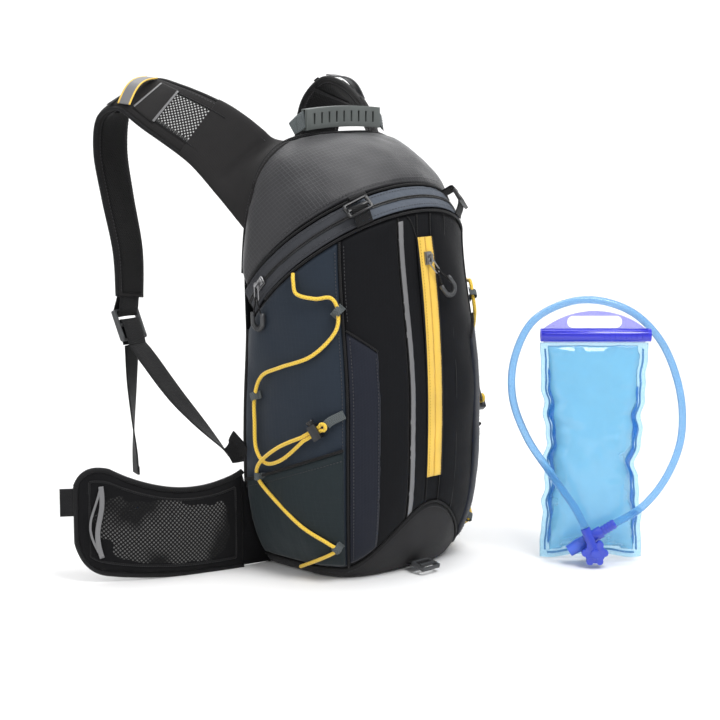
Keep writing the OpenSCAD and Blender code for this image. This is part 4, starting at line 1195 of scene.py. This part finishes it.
def build_buckles():
    hard("top_buckle_left", "black_plastic", 0.5, 2)
    hard("top_buckle_right", "black_plastic", 0.5, 2)
    hard("bottom_buckle", "grey_plastic", 0.6, 2)
    u = BUCKLE_U
    tangent = unit(zip_point(u + 1, 0) - zip_point(u - 1, 0))
    line = [zip_point(u, along - 1.0, ZIP_R + off) for off, along in BUCKLE_LOOP]
    strap = ribbon("buckle_loop_left", curve(line, 36), tangent, 18.0, 1.7)
    line = [zip_point(u - 1.6, along, ZIP_R + off) for off, along in BUCKLE_TAIL]
    below = ribbon("below_left", curve(line, 30), tangent, 18.0, 1.5)
    pair(strap, "pack", "webbing_black", "top_buckle_loops")
    pair(below, "pack", "webbing_black")
    line = [(0, y, z) for y, z in BOTTOM_LOOP]
    loop = ribbon("bottom_buckle_loop", curve(line, 30), [1.0, 0, 0], 19.0, 1.4)
    settle(loop, "pack", "webbing_black", "bottom_loop")


# ---------- shoulder straps ----------
STRAP_ROWS = [
    (-97, 82, 405, 76, 0.56, -0.20, 0.80), (-114, 114, 436, 68, 0.56, -0.20, 0.80),
    (-136, 160, 463, 60, 0.66, -0.06, 0.70), (-146, 194, 476, 57, 0.80, 0.12, 0.45),
    (-149, 226, 459, 54, 0.93, 0.24, 0.20), (-147, 237, 420, 50, 0.97, 0.24, 0.05),
    (-143, 232, 372, 45, 0.97, 0.20, 0.02), (-141, 219, 316, 39, 0.98, 0.14, 0),
    (-146, 211, 268, 34, 0.98, 0.10, 0)]
STRAP_T = 8.0
STRAP_BEND = ((-97, 82, 405), (-136, 160, 405))  # where the strap leaves the pack, and where it swings


def strap_line(t0, t1, steps):
    """Centres, width directions, outward directions and widths along part of the strap."""
    rows = curve(STRAP_ROWS, 400)
    rows = sample(np.linspace(t0, t1, steps + 1) * 400, np.arange(401), rows)
    along = frames(rows[:, :3])
    out = unit(np.cross(rows[:, 4:7], along))
    return rows[:, :3], unit(np.cross(along, out)), out, rows[:, 3]


def strap_section(width, thick, k=14):
    """Padded section: flat inner face, crowned outer face, pinched edges."""
    x = np.linspace(-1, 1, k + 1)
    pad = (1 - np.abs(x) ** 6) ** 0.5
    top = np.stack([x * width / 2, 0.6 + pad * thick / 2], axis=-1)
    low = np.stack([x[::-1] * width / 2, -0.6 - pad[::-1] * thick / 2], axis=-1)
    return np.concatenate([low, top])[::-1]


def tapered(name, centres, sides, widths, thick, drawn=10.0):
    """Flat band whose width changes along its length. Its section is drawn at one width and scaled."""
    scale = np.stack([np.asarray(widths) / drawn, np.ones(len(widths))], axis=-1)
    return ribbon(name, centres, sides, drawn, thick, scale)


def strap_band(name, t0, t1, width, height, thick, steps=60):
    """Thin layer on a face of the strap. width is a share of the strap's own."""
    centres, side, out, full = strap_line(t0, t1, steps)
    return tapered(name, centres + out * height, side, full * width, thick)


def strap_edge(name, t0, t1, place, r, height=0.0, steps=90):
    centres, side, out, full = strap_line(t0, t1, steps)
    return tube(name, centres + side * (full * place)[:, None] + out * height, r, 8)


def strap_piece(obj, look, *nodes):
    pair(obj, "strap_left", look, *nodes, bend=STRAP_BEND)


def build_straps():
    outer, inner = STRAP_T / 2, -STRAP_T / 2
    centres, side, _, full = strap_line(0, 1, 150)
    wobble = 1 + 0.012 * np.sin(np.linspace(0, 40, 151))
    scale = np.stack([full / 60 * wobble, np.ones(151)], axis=-1)
    pad = sweep("strap_cloth_left", centres, side, strap_section(60, STRAP_T), scale)
    strap_piece(pad, "strap_cloth", "strap_pad_left")
    strap_piece(strap_band("strap_mesh_left", 0.02, 0.985, 0.84, inner - 0.5, 1.6, 120), "air_mesh")
    strap_piece(strap_band("strap_window_left", 0.13, 0.25, 0.62, outer + 0.5, 1.4), "window_mesh")
    strap_piece(strap_band("strap_flap_left", 0.245, 0.315, 0.74, outer + 1.4, 1.6, 16), "strap_cloth")
    edges = [strap_edge("e", 0, 1, p, 2.3) for p in (-0.5, 0.5)]
    edges += [strap_edge("e", 0.125, 0.25, p, 0.9, outer + 0.9, 60) for p in (-0.32, 0.32)]
    strap_piece(join("strap_binding_left", edges), "webbing_black")
    starts = (0.243, 0.312)
    trims = [strap_band("strap_trim_left", t, t + 0.006, 0.70, outer + 2.2, 0.8, 3) for t in starts]
    strap_piece(join("strap_trim_left", trims), "reflective")
    strap_piece(strap_stitches(outer, inner), "thread")
    over = strap_band("strap_sleeve_left", 0.405, 0.425, 1.04, outer + 1.6, 1.2, 8)
    under = strap_band("s", 0.405, 0.425, 1.04, inner - 1.7, 1.2, 8)
    pair(join("strap_sleeve_left", [over, under]), "strap_left", "webbing_black")


def strap_stitches(outer, inner):
    centres, side, out, full = strap_line(0.02, 0.98, 200)
    rows = []
    for height, place in ((outer + 0.7, 0.43), (inner - 0.6, 0.45), (inner - 0.6, -0.45)):
        line = centres + side * (full * place)[:, None] + out * height
        rows.append(stitches("t", line, out * np.sign(height), 3.6))
    return join("strap_stitches_left", rows)


def build_keeper():
    """Reflective loop that holds the drinking tube on the strap."""
    rows = curve(STRAP_ROWS, 400)
    row, ahead, behind = rows[144], rows[152], rows[136]
    along = unit(ahead[:3] - behind[:3])
    out = unit(np.cross(row[4:7], along))
    side = unit(np.cross(along, out))
    s = np.linspace(-0.5, 0.5, 41)
    lift = STRAP_T / 2 + 1.6 + 9 * np.cos(s * math.pi)
    line = row[:3] + side * (s * (row[3] - 8))[:, None] + out * lift[:, None]
    loop = ribbon("keeper_loop_left", line, along, 16, 1.2)
    pair(loop, "strap_left", "reflective", "hose_keeper_left")
    edges = [tube("k", line + along * x, 1.5, 8, flatness=0.6) for x in (-7.2, 7.2)]
    edges = join("keeper_edges_left", edges)
    settle(twin(edges), "strap_right", "reflective")
    settle(edges, "strap_left", "zip_yellow")


def build_root():
    """Cloth that runs from the top of the pack over the root of the strap."""
    across = np.linspace(0, 1, 37)
    u = lerp(2.0, 50.0, across)
    centres, side, out, full = strap_line(0.0, 0.16, 16)
    rows = [line_on(cap, u, w, lift)[0] for w, lift in ((0.90, 0.3), (0.95, 1.6))]
    for i in (1, 5, 9, 13, 16):
        wide = ((across - 0.5) * full[i] * 1.07)[:, None]
        rows.append(centres[i] + side[i] * wide + out[i] * (STRAP_T / 2 + 1.5))
    outer = np.stack([curve(column, 48) for column in np.swapaxes(rows, 0, 1)], axis=1)
    run, up, _ = from_edge(outer)
    out = unit(np.cross(np.gradient(outer, axis=1), np.gradient(outer, axis=0)))
    sides = np.minimum(up, up[:, -1:] - up)
    outer = outer + out * (0.5 * fractal(outer, 22.0, 8.0) - 2.6 * np.exp(-sides / 3))[..., None]
    root = closed_sheet("strap_root_left", outer, outer - out * 2.6, run, up, turned=True)
    pair(root, "strap_left", "strap_cloth", bend=STRAP_BEND)


def build_ladder():
    hard("ladder_lock_left", "grey_plastic", 0.9, 3)
    hard("ladder_lock_right", "grey_plastic", 0.9, 3)
    path = [(-146, 213, 276), (-147.5, 216.4, 264), (-148.6, 218.6, 254), (-149.2, 213.6, 248.4),
            (-149.0, 209.4, 255), (-148, 209.2, 264), (-146.4, 208.9, 275)]
    loop = ribbon("ladder_loop_left", curve(path, 50), [0.98, 0.10, 0], 27, 1.4)
    pair(loop, "strap_left", "webbing_black")
    rise, out = np.array([0.0, 0.407, 0.914]), np.array([0.0, -0.914, 0.407])
    turns = [(-23, 3.9), (-14, 4.4), (-3, 4.2), (4.0, 2.6), (5.2, -1), (2.5, -4.2), (-8, -4.4),
             (-20.4, -5.2)]
    line = np.array([(-149.3, 208, 240) + h * rise + n * out for h, n in turns])
    thread = ribbon("ladder_web_left", curve(line, 60), [0.98, 0.12, 0], 24.6, 1.3)
    pair(thread, "ladder_left", "webbing_black")


WEB_ROWS = [  # place of the webbing, then the direction across it
    (-149, 195, 220, 1, 0.1, 0), (-147, 180, 206, 0.98, 0.1, 0.1), (-139, 140, 166, 0.9, 0.3, 0.2),
    (-125, 83.5, 117.6, 0.5, 0.1, -0.5),
]
TAIL_ROWS = [
    (-149, 205, 219, 0.98, 0.2, 0), (-148, 207, 180, 0.9, 0.4, 0), (-148, 206, 140, 0.7, 0.7, 0),
    (-148, 204, 105, 0.45, 0.9, 0), (-148, 203, 82, 0.4, 0.9, 0),
]
WEB_BEND = ((-149, 205, 150), (-149, 205, 216))


def build_strap_webbing():
    web, tail = curve(WEB_ROWS, 60), curve(TAIL_ROWS, 70)
    taper = np.stack([1 - 0.12 * smooth(np.linspace(-1, 1, 61)), np.ones(61)], axis=-1)
    line = ribbon("strap_web_left", web[:, :3], web[:, 3:], 25, 1.6, taper)
    hang = ribbon("w", tail[:, :3], tail[:, 3:], 22, 1.6)
    hem = ribbon("w", tail[-9:, :3] + [0.8, 0.3, 0], tail[-9:, 3:], 22, 2.6)
    pair(join("strap_web_left", [line, hang, hem]), "ladder_left", "webbing_black", "strap_webbing_left",
         bend=WEB_BEND, root="strap_left")


def build_strap_anchor():
    edge = body(-CORNER + 1.0, 0.46)
    rows = curve([(edge[0] - 1.5, edge[1] + 0.5, 128, 36, 0, 0, 1), (-118, 76, 120, 28, -0.2, -0.1, 1),
                  (-125, 81.6, 115, 20, -0.3, -0.2, 1)], 16)
    anchor = tapered("strap_anchor_left", rows[:, :3], rows[:, 4:7], rows[:, 3], 2.4)
    pair(anchor, "pack", "webbing_black", "strap_anchors")


# ---------- hip belt ----------
WING_ROWS = [(-115, 72, 0), (-150, 81, 0.24), (-195, 95, 0.5), (-240, 116, 0.78), (-274, 139, 1)]
WING_T = 13.0
BELT_BEND = ((-112, 72, 50), (-138, 78, 50))


def wing_line(n):
    rows = curve(WING_ROWS, n)
    s = np.linspace(0, 1, n + 1)
    along = frames(rows[:, :2])
    out = np.stack([-along[:, 1], along[:, 0], 0 * s], axis=-1)
    return s, rows[:, :2], out


def wing_low(s):
    return 0.8 + 15 * s**3 + 26 * np.clip((s - 0.8) / 0.2, 0, 1) ** 2.4


def wing_top(s):
    draw = 26 * np.clip((s - 0.8) / 0.2, 0, 1) ** 2.4
    return 99.4 - 14 * np.sin(np.minimum(s * 1.25, 1) * math.pi) + 24 * s**3 - draw


def wing_half(s, share):
    """Half thickness of the wing at a share of its height: full in the middle, pinched at its edges."""
    tip = np.clip((s - 0.8) / 0.2, 0, 1) ** 2.4
    full = WING_T / 2 * (0.72 + 0.28 * np.sin(s * math.pi)) * (1 - 0.4 * tip)
    return np.maximum(full * (1 - np.abs(2 * share - 1) ** 5) ** 0.5, 2.2)


def wing_face(n, m, s0, s1, lo, hi, side, lift):
    """Grid of points on a face of the wing: side is 1 on its outer face and -1 towards the wearer."""
    s, line, out = wing_line(200)
    at = np.linspace(s0, s1, n + 1)
    place, normals = sample(at, s, line), sample(at, s, out)
    share = np.linspace(lo, hi, m + 1)[None, :]
    z = lerp(wing_low(at)[:, None], wing_top(at)[:, None], share)
    half = wing_half(at[:, None], share)
    centre = stack(place[:, None, 0], place[:, None, 1], z)
    return centre + side * normals[:, None, :] * (half + lift)[..., None]


def wing_piece(obj, look, *nodes):
    pair(obj, "belt_left", look, *nodes, bend=BELT_BEND)


def build_wings():
    """The padded wings. Gives back the tubes round a wing's rim, which are joined to its pocket's hems."""
    whole = (90, 36, 0, 1, 0, 1)
    front, back = wing_face(*whole, 1, 0.0), wing_face(*whole, -1, 0.0)
    across = (front - back) / np.maximum(np.linalg.norm(front - back, axis=-1, keepdims=True), 1)
    front = front + across * 0.7 * fractal(front, 28.0, 7.0)[..., None]
    run, up, _ = from_edge(front)
    wing = closed_sheet("wing_cloth_left", front, back, run + 300, up, turned=True)
    inflate(wing, 1.5, 3.4, 4.0, (-0.93, 0.37, 0))
    wing_piece(wing, "wing_cloth", "belt_wing_left")
    middle = (front + back) / 2
    rims = [tube("b", rim, 3.0, 8) for rim in (middle[:, 0], middle[:, -1], middle[-1])]
    return rims


def build_wing_pockets(rims):
    part = (70, 30, 0.10, 0.90, 0.12, 0.90, 1)
    pocket, inner = wing_face(*part, 0.6), wing_face(*part, -0.8)
    rise = hump(71)[:, None] * hump(31)[None, :]
    out = wing_line(70)[2]
    pocket = pocket + out[:, None, :] * (4.5 * rise + 0.5 * fractal(pocket, 15.0, 3.0))[..., None]
    run, up, _ = from_edge(pocket)
    wing_piece(closed_sheet("wing_pocket_left", pocket, inner, run + 300, up, turned=True), "open_mesh")
    hems = [tube("b", rim, 1.3, 8) for rim in (pocket[:, 0], pocket[:, -1], pocket[0], pocket[-1])]
    wing_piece(join("wing_binding_left", hems + rims), "webbing_black")
    trims = [ribbon("t", *wing_trim(0.84, bow), width, 1.0) for bow, width in ((0.055, 2.4), (0.012, 5.0))]
    wing_piece(join("wing_trims_left", trims), "reflective")
    tab = [(-273, 138.4, 82), (-278, 141.8, 82), (-284, 146.0, 82), (-287, 148.2, 82)]
    end = ribbon("belt_end_left", curve(tab, 12), [0, 0, 1.0], 28, 2.2)
    pair(end, "belt_left", "webbing_black", "belt_tab_left")


def wing_trim(middle, bow):
    """Curved reflective trim up the pocket's mouth: its points and the directions across it."""
    k = np.linspace(0, 1, 41)
    at = middle + bow * np.sin(k * math.pi) + 0.012 * np.sin(k * 2 * math.pi)
    height = 0.16 + 0.70 * k
    z = lerp(wing_low(at), wing_top(at), height)
    s, line, out = wing_line(200)
    place, outs = sample(at, s, line), sample(at, s, out)
    points = stack(place[:, 0], place[:, 1], z) + outs * (wing_half(at, height) + 3.6)[:, None]
    up = unit(np.gradient(points, axis=0))
    return points, unit(np.cross(up, outs))


def build_gore():
    """Cloth that closes the corner between the pack's side edge and the root of the belt wing."""
    rise = np.linspace(0, 1, 25)
    foot = body(-CORNER, lerp(0.004, 0.235, rise)) + np.array([0.6, -2.0, 0])
    line = wing_line(200)[1]
    z = lerp(wing_low(0.0) + 1.5, wing_top(0.0) - 1.5, rise)
    root = stack(line[4, 0] + 0 * z, line[4, 1] + 0 * z, z)
    across = np.linspace(0, 1, 13)
    middle = lerp(foot[:, None], root[:, None], across[None, :, None])
    sag = 1.6 * hump(13)[None, :] * hump(25)[:, None]
    thick = (2.6 + 0.8 * sag)[..., None] * np.array([-0.35, -0.94, 0.0])
    run, up, _ = from_edge(middle)
    pair(closed_sheet("belt_gore_left", middle + thick, middle - thick, run, up), "pack", "wing_cloth")


# ---------- reservoir ----------
RES_OUT = 160.0
CLAMP_W, BAG_H, CLAMP_Z = 110.0, 226.0, 234.4
KNOB_Y = -37.0


def in_reservoir(points):
    return rotate(np.asarray(points, float), "Z", -45) + np.array([RES_OUT, -RES_OUT, 0])


def bag_w(s):
    waist = 1 - 0.115 * np.abs(np.sin(math.pi * np.abs(s) ** 0.85)) ** 1.5
    return CLAMP_W * 0.49 * waist - 3 * (1 - s) ** 6


def bag_t(s):
    return 1.2 + 16 * np.abs(np.sin(math.pi * np.abs(s) ** 0.72)) ** 0.8


def bag_side(s, sign):
    """Place across of the film's edge, with the pinches that a full bag pulls into its seams."""
    ripple = 1.5 * np.sin(s * 34 + sign) + 1.0 * np.sin(s * 61 + 2 * sign)
    deep, centre, reach = (6.0, 0.42, 0.045) if sign > 0 else (2.6, 0.60, 0.05)
    pinch = deep * np.exp(-((s - centre) / reach) ** 2)
    return sign * (bag_w(s) + 1.6 + ripple * np.sin(math.pi * s) - pinch)


def bag_bottom(x):
    """Height of the film's lower edge: wavy, and lower at its corners."""
    return 1.0 + 1.6 * (1 - np.cos(x * 0.16)) * 0.5 + 3.4 * np.exp(-(x / 30) ** 2)


def bag_grid(n, m, inset):
    """Across, up and height share over the film, drawn in from its rim by inset."""
    t = np.linspace(0, 1, m + 1)[None, :]
    k = np.linspace(-1, 1, n + 1)[:, None]
    left, right = bag_side(t, -1) + inset, bag_side(t, 1) - inset
    x = lerp(left, right, (k + 1) / 2)
    floor = bag_bottom(x) + inset
    return x, lerp(floor, 1 + BAG_H, t), k, t


def film_sheet(name, x, z, front, rear):
    outer, inner = in_reservoir(stack(x, -front, z)), in_reservoir(stack(x, rear, z))
    return closed_sheet(name, outer, inner, x + 100, z)


def build_bag():
    x, z, k, t = bag_grid(48, 80, 6.0)
    full = (1 - np.abs(k) ** 3.2) ** 0.62
    ends = smooth(np.clip(t / 0.10, 0, 1)) ** 0.6
    crease = fractal(stack(x, 0 * x, z * 0.55), 20.0, 11.0)
    folds = fractal(stack(x * 0.3, 0 * x, z * 1.5), 12.0, 4.0) * np.abs(k) ** 1.5
    depth = 1.4 + (bag_t(t) - 1.4) * full * ends
    depth = np.maximum(depth + (1.3 * crease + 3.0 * folds) * full * ends, 1.4)
    bag = film_sheet("reservoir_film", x, z, depth, depth * 0.9)
    inflate(bag, 2.0, 3.0, 4.0, (0.7071, -0.7071, 0))
    settle(bag, "reservoir", "film_blue", "reservoir_bag")


def build_bag_edges():
    x, z, k, _ = bag_grid(40, 80, 0.0)
    ripple = 0.9 * np.sin(z * 0.33) * np.abs(k) ** 8
    settle(film_sheet("reservoir_flange", x, z, 0.35 - ripple, 0.35 + ripple), "reservoir", "flange_blue")
    seams = []
    s = np.linspace(0.04, 0.97, 110)
    for sign in (-1, 1):
        column = bag_side(s, sign) - sign * 5.4
        for y in (-1.5, 1.5):
            seams.append(tube("s", in_reservoir(stack(column, y + 0 * s, 1 + BAG_H * s)), 0.9, 6))
    low = np.linspace(-45, 45, 80)
    for y in (-1.5, 1.5):
        seams.append(tube("s", in_reservoir(stack(low, y + 0 * low, bag_bottom(low) + 5.4)), 0.9, 6))
    settle(join("reservoir_welds", seams), "reservoir", "tube_blue", slot="film_blue")
    # Folds along the long edges in a deeper blue: painted shade in the creases.
    folds = [side_fold_shade(sign, y) for sign in (-1, 1) for y in (-1, 1)]
    settle(join("reservoir_fold_shade", folds), "reservoir", "fold_blue")


def side_fold_shade(sign, face):
    """Fold of film that gathers along a long edge of the bag, on its front or rear face, coloured a deeper
    blue than the film as painted shade in the crease.
    """
    s = np.linspace(0.07, 0.80 if sign > 0 else 0.88, 90)
    wave = 1 + 0.45 * np.sin(s * 31 + sign) + 0.35 * np.sin(s * 67)
    ends = hump(90) ** 0.5
    wide = (5.0 if sign > 0 else 3.6) * np.clip(wave, 0.25, 2) * ends + 0.4
    column = bag_side(s, sign) - sign * 8.6
    line = stack(column, face * (3.4 + 1.4 * ends), 1 + BAG_H * s)
    across = stack(1.0 + 0 * s, -face * sign * 0.55 + 0 * s, 0 * s)
    return tapered("fold", in_reservoir(line), rotate(across, "Z", -45), wide, 1.3, 5.0)


HOSE_PATH = [
    (-10.4, KNOB_Y, 42.4), (-22, -36, 64), (-46, -32, 98), (-70, -26, 134), (-84, -14, 174), (-80, 2, 214),
    (-58, 15, 250), (-12, 19, 268), (36, 18, 258), (70, 12, 226), (87, -6, 180), (88, -20, 134),
    (74, -25, 94), (50, -26, 62), (21, -24.9, 43.1),
]


def build_reservoir():
    build_bag()
    build_bag_edges()
    hard("reservoir_handle", "handle_blue", 0.5, 2)
    hard("slide_clamp", "clamp_blue", 0.4, 2)
    ridges = []
    for a in (200, 225, 250):
        y, z = 6.8 * math.cos(math.radians(a)), 6.8 * math.sin(math.radians(a))
        line = stack(np.linspace(-CLAMP_W / 2 + 1, CLAMP_W / 2 - 1, 12), y, CLAMP_Z - z)
        ridges.append(tube("r", in_reservoir(line), 0.7, 6))
    for x in np.arange(10, 50, 5.5):
        a = np.radians(np.linspace(150, 205, 8))
        line = stack(x + 0 * a, 6.9 * np.cos(a), CLAMP_Z + 6.9 * np.sin(a))
        ridges.append(tube("r", in_reservoir(line), 0.45, 6))
    settle(join("clamp_ridges", ridges), "clamp", "clamp_blue")
    hard("outlet_fitting", "valve_blue", 0.5, 2)
    hard("bite_valve_body", "valve_blue", 0.4, 2)
    hard("bite_valve_mouthpiece", "mouth_blue", 0.8, 3)
    line = in_reservoir(curve(HOSE_PATH, 200))
    settle(tube("drinking_hose", line, 4.0, 18), "reservoir", "tube_blue", "drinking_tube")


# ---------- small parts left as CAD ----------
HANGER_Y = 67


def build_fittings():
    hard("hose_port", "grip_rubber", 0.4, 2)
    hanger, body_part = (
        pillow(name, dense(rounded_outline(22, tall, 4), 2.0), upright(HANGER_Y, 0, z), 1.8, 0.1, 8)
        for name, tall, z in (("hanger_cloth", 14, 370), ("h", 20, 357))
    )
    a = circle(40)
    eye = tube("h", stack(6.6 * np.cos(a), HANGER_Y, 336 + 6.6 * np.sin(a)), 1.5, 8, closed=True)
    settle(join("hanger_cloth", [hanger, body_part]), "pack", "sleeve_cloth", "reservoir_hanger")
    eye.name = "hanger_eyelet"
    settle(eye, "pack", "metal")


# ---------- floor, light and camera ----------
WALL, BEND_R = 900.0, 700.0  # where the floor starts to curve up into the wall behind, and how round


def build_stage():
    back = Look("backdrop", Roughness=0.9, Specular_IOR_Level=0.1)
    back.set(Base_Color=back.mix(back.noise(3.0), (0.88, 0.88, 0.885), (0.92, 0.92, 0.92)))
    arc = np.radians(np.linspace(0, 90, 16))
    bend = [(WALL + BEND_R * math.sin(a), BEND_R - BEND_R * math.cos(a)) for a in arc[1:]]
    line = np.array([(-1400.0, 0.0), (WALL, 0.0)] + bend + [(WALL + BEND_R, 2600.0)])
    across = np.linspace(-2600, 2600, 3)
    grid = stack(across[:, None], line[None, :, 0], line[None, :, 1])
    grid = rotate(grid, "Z", -45) - np.array([0, 0, 0.4])
    floor = add_mesh("floor", grid, grid_faces(2, len(line) - 1))
    floor.data.materials.append(back.material)


def add_light(name, place, target, size, power, color=(1, 1, 1)):
    data = bpy.data.lights.new(name, "AREA")
    data.size, data.energy, data.color = size, power, color
    lamp = bpy.data.objects.new(name, data)
    lamp.location = place
    lamp.rotation_euler = (Vector(target) - Vector(place)).to_track_quat("-Z", "Y").to_euler()
    link(lamp)


def build_light_and_camera():
    towards = Vector((-0.6984, -0.6984, 0.1564))
    across = Vector((0.7071, -0.7071, 0))
    up = Vector((0.1106, 0.1106, 0.9877))
    aim = Vector((0, 0, 0.230)) - 0.01275 * across - 0.0211 * up
    add_light("key", aim + towards * 1.2 + across * 0.7 + up * 1.5, aim, 0.9, 30)
    add_light("fill", aim + towards * 1.3 - across * 1.4 + up * 0.6, aim, 1.6, 9)
    add_light("top", aim + Vector((0, 0, 1.7)) - towards * 0.5, aim, 1.6, 22)
    world = bpy.data.worlds.new("studio")
    world.use_nodes = True
    world.node_tree.nodes["Background"].inputs["Color"].default_value = (1, 1, 1, 1)
    world.node_tree.nodes["Background"].inputs["Strength"].default_value = 0.55
    bpy.context.scene.world = world
    data = bpy.data.cameras.new("camera")
    data.lens, data.sensor_width = 98.04, 36.0
    camera = bpy.data.objects.new("camera", data)
    camera.location = aim + towards * 2.0
    camera.rotation_euler = (aim - camera.location).to_track_quat("-Z", "Y").to_euler()
    bpy.context.scene.camera = link(camera)
    bpy.context.scene.view_settings.view_transform = "Standard"


build_panels()
build_base()
build_lining()
build_top()
build_back()
build_seams()
build_stitching()
build_main_zip()
build_front_zip()
build_pulls()
build_strip()
build_handle()
build_cords()
build_buckles()
build_straps()
build_root()
build_keeper()
build_ladder()
build_strap_webbing()
build_strap_anchor()
build_wing_pockets(build_wings())
build_gore()
build_reservoir()
build_fittings()
build_stage()
build_light_and_camera()
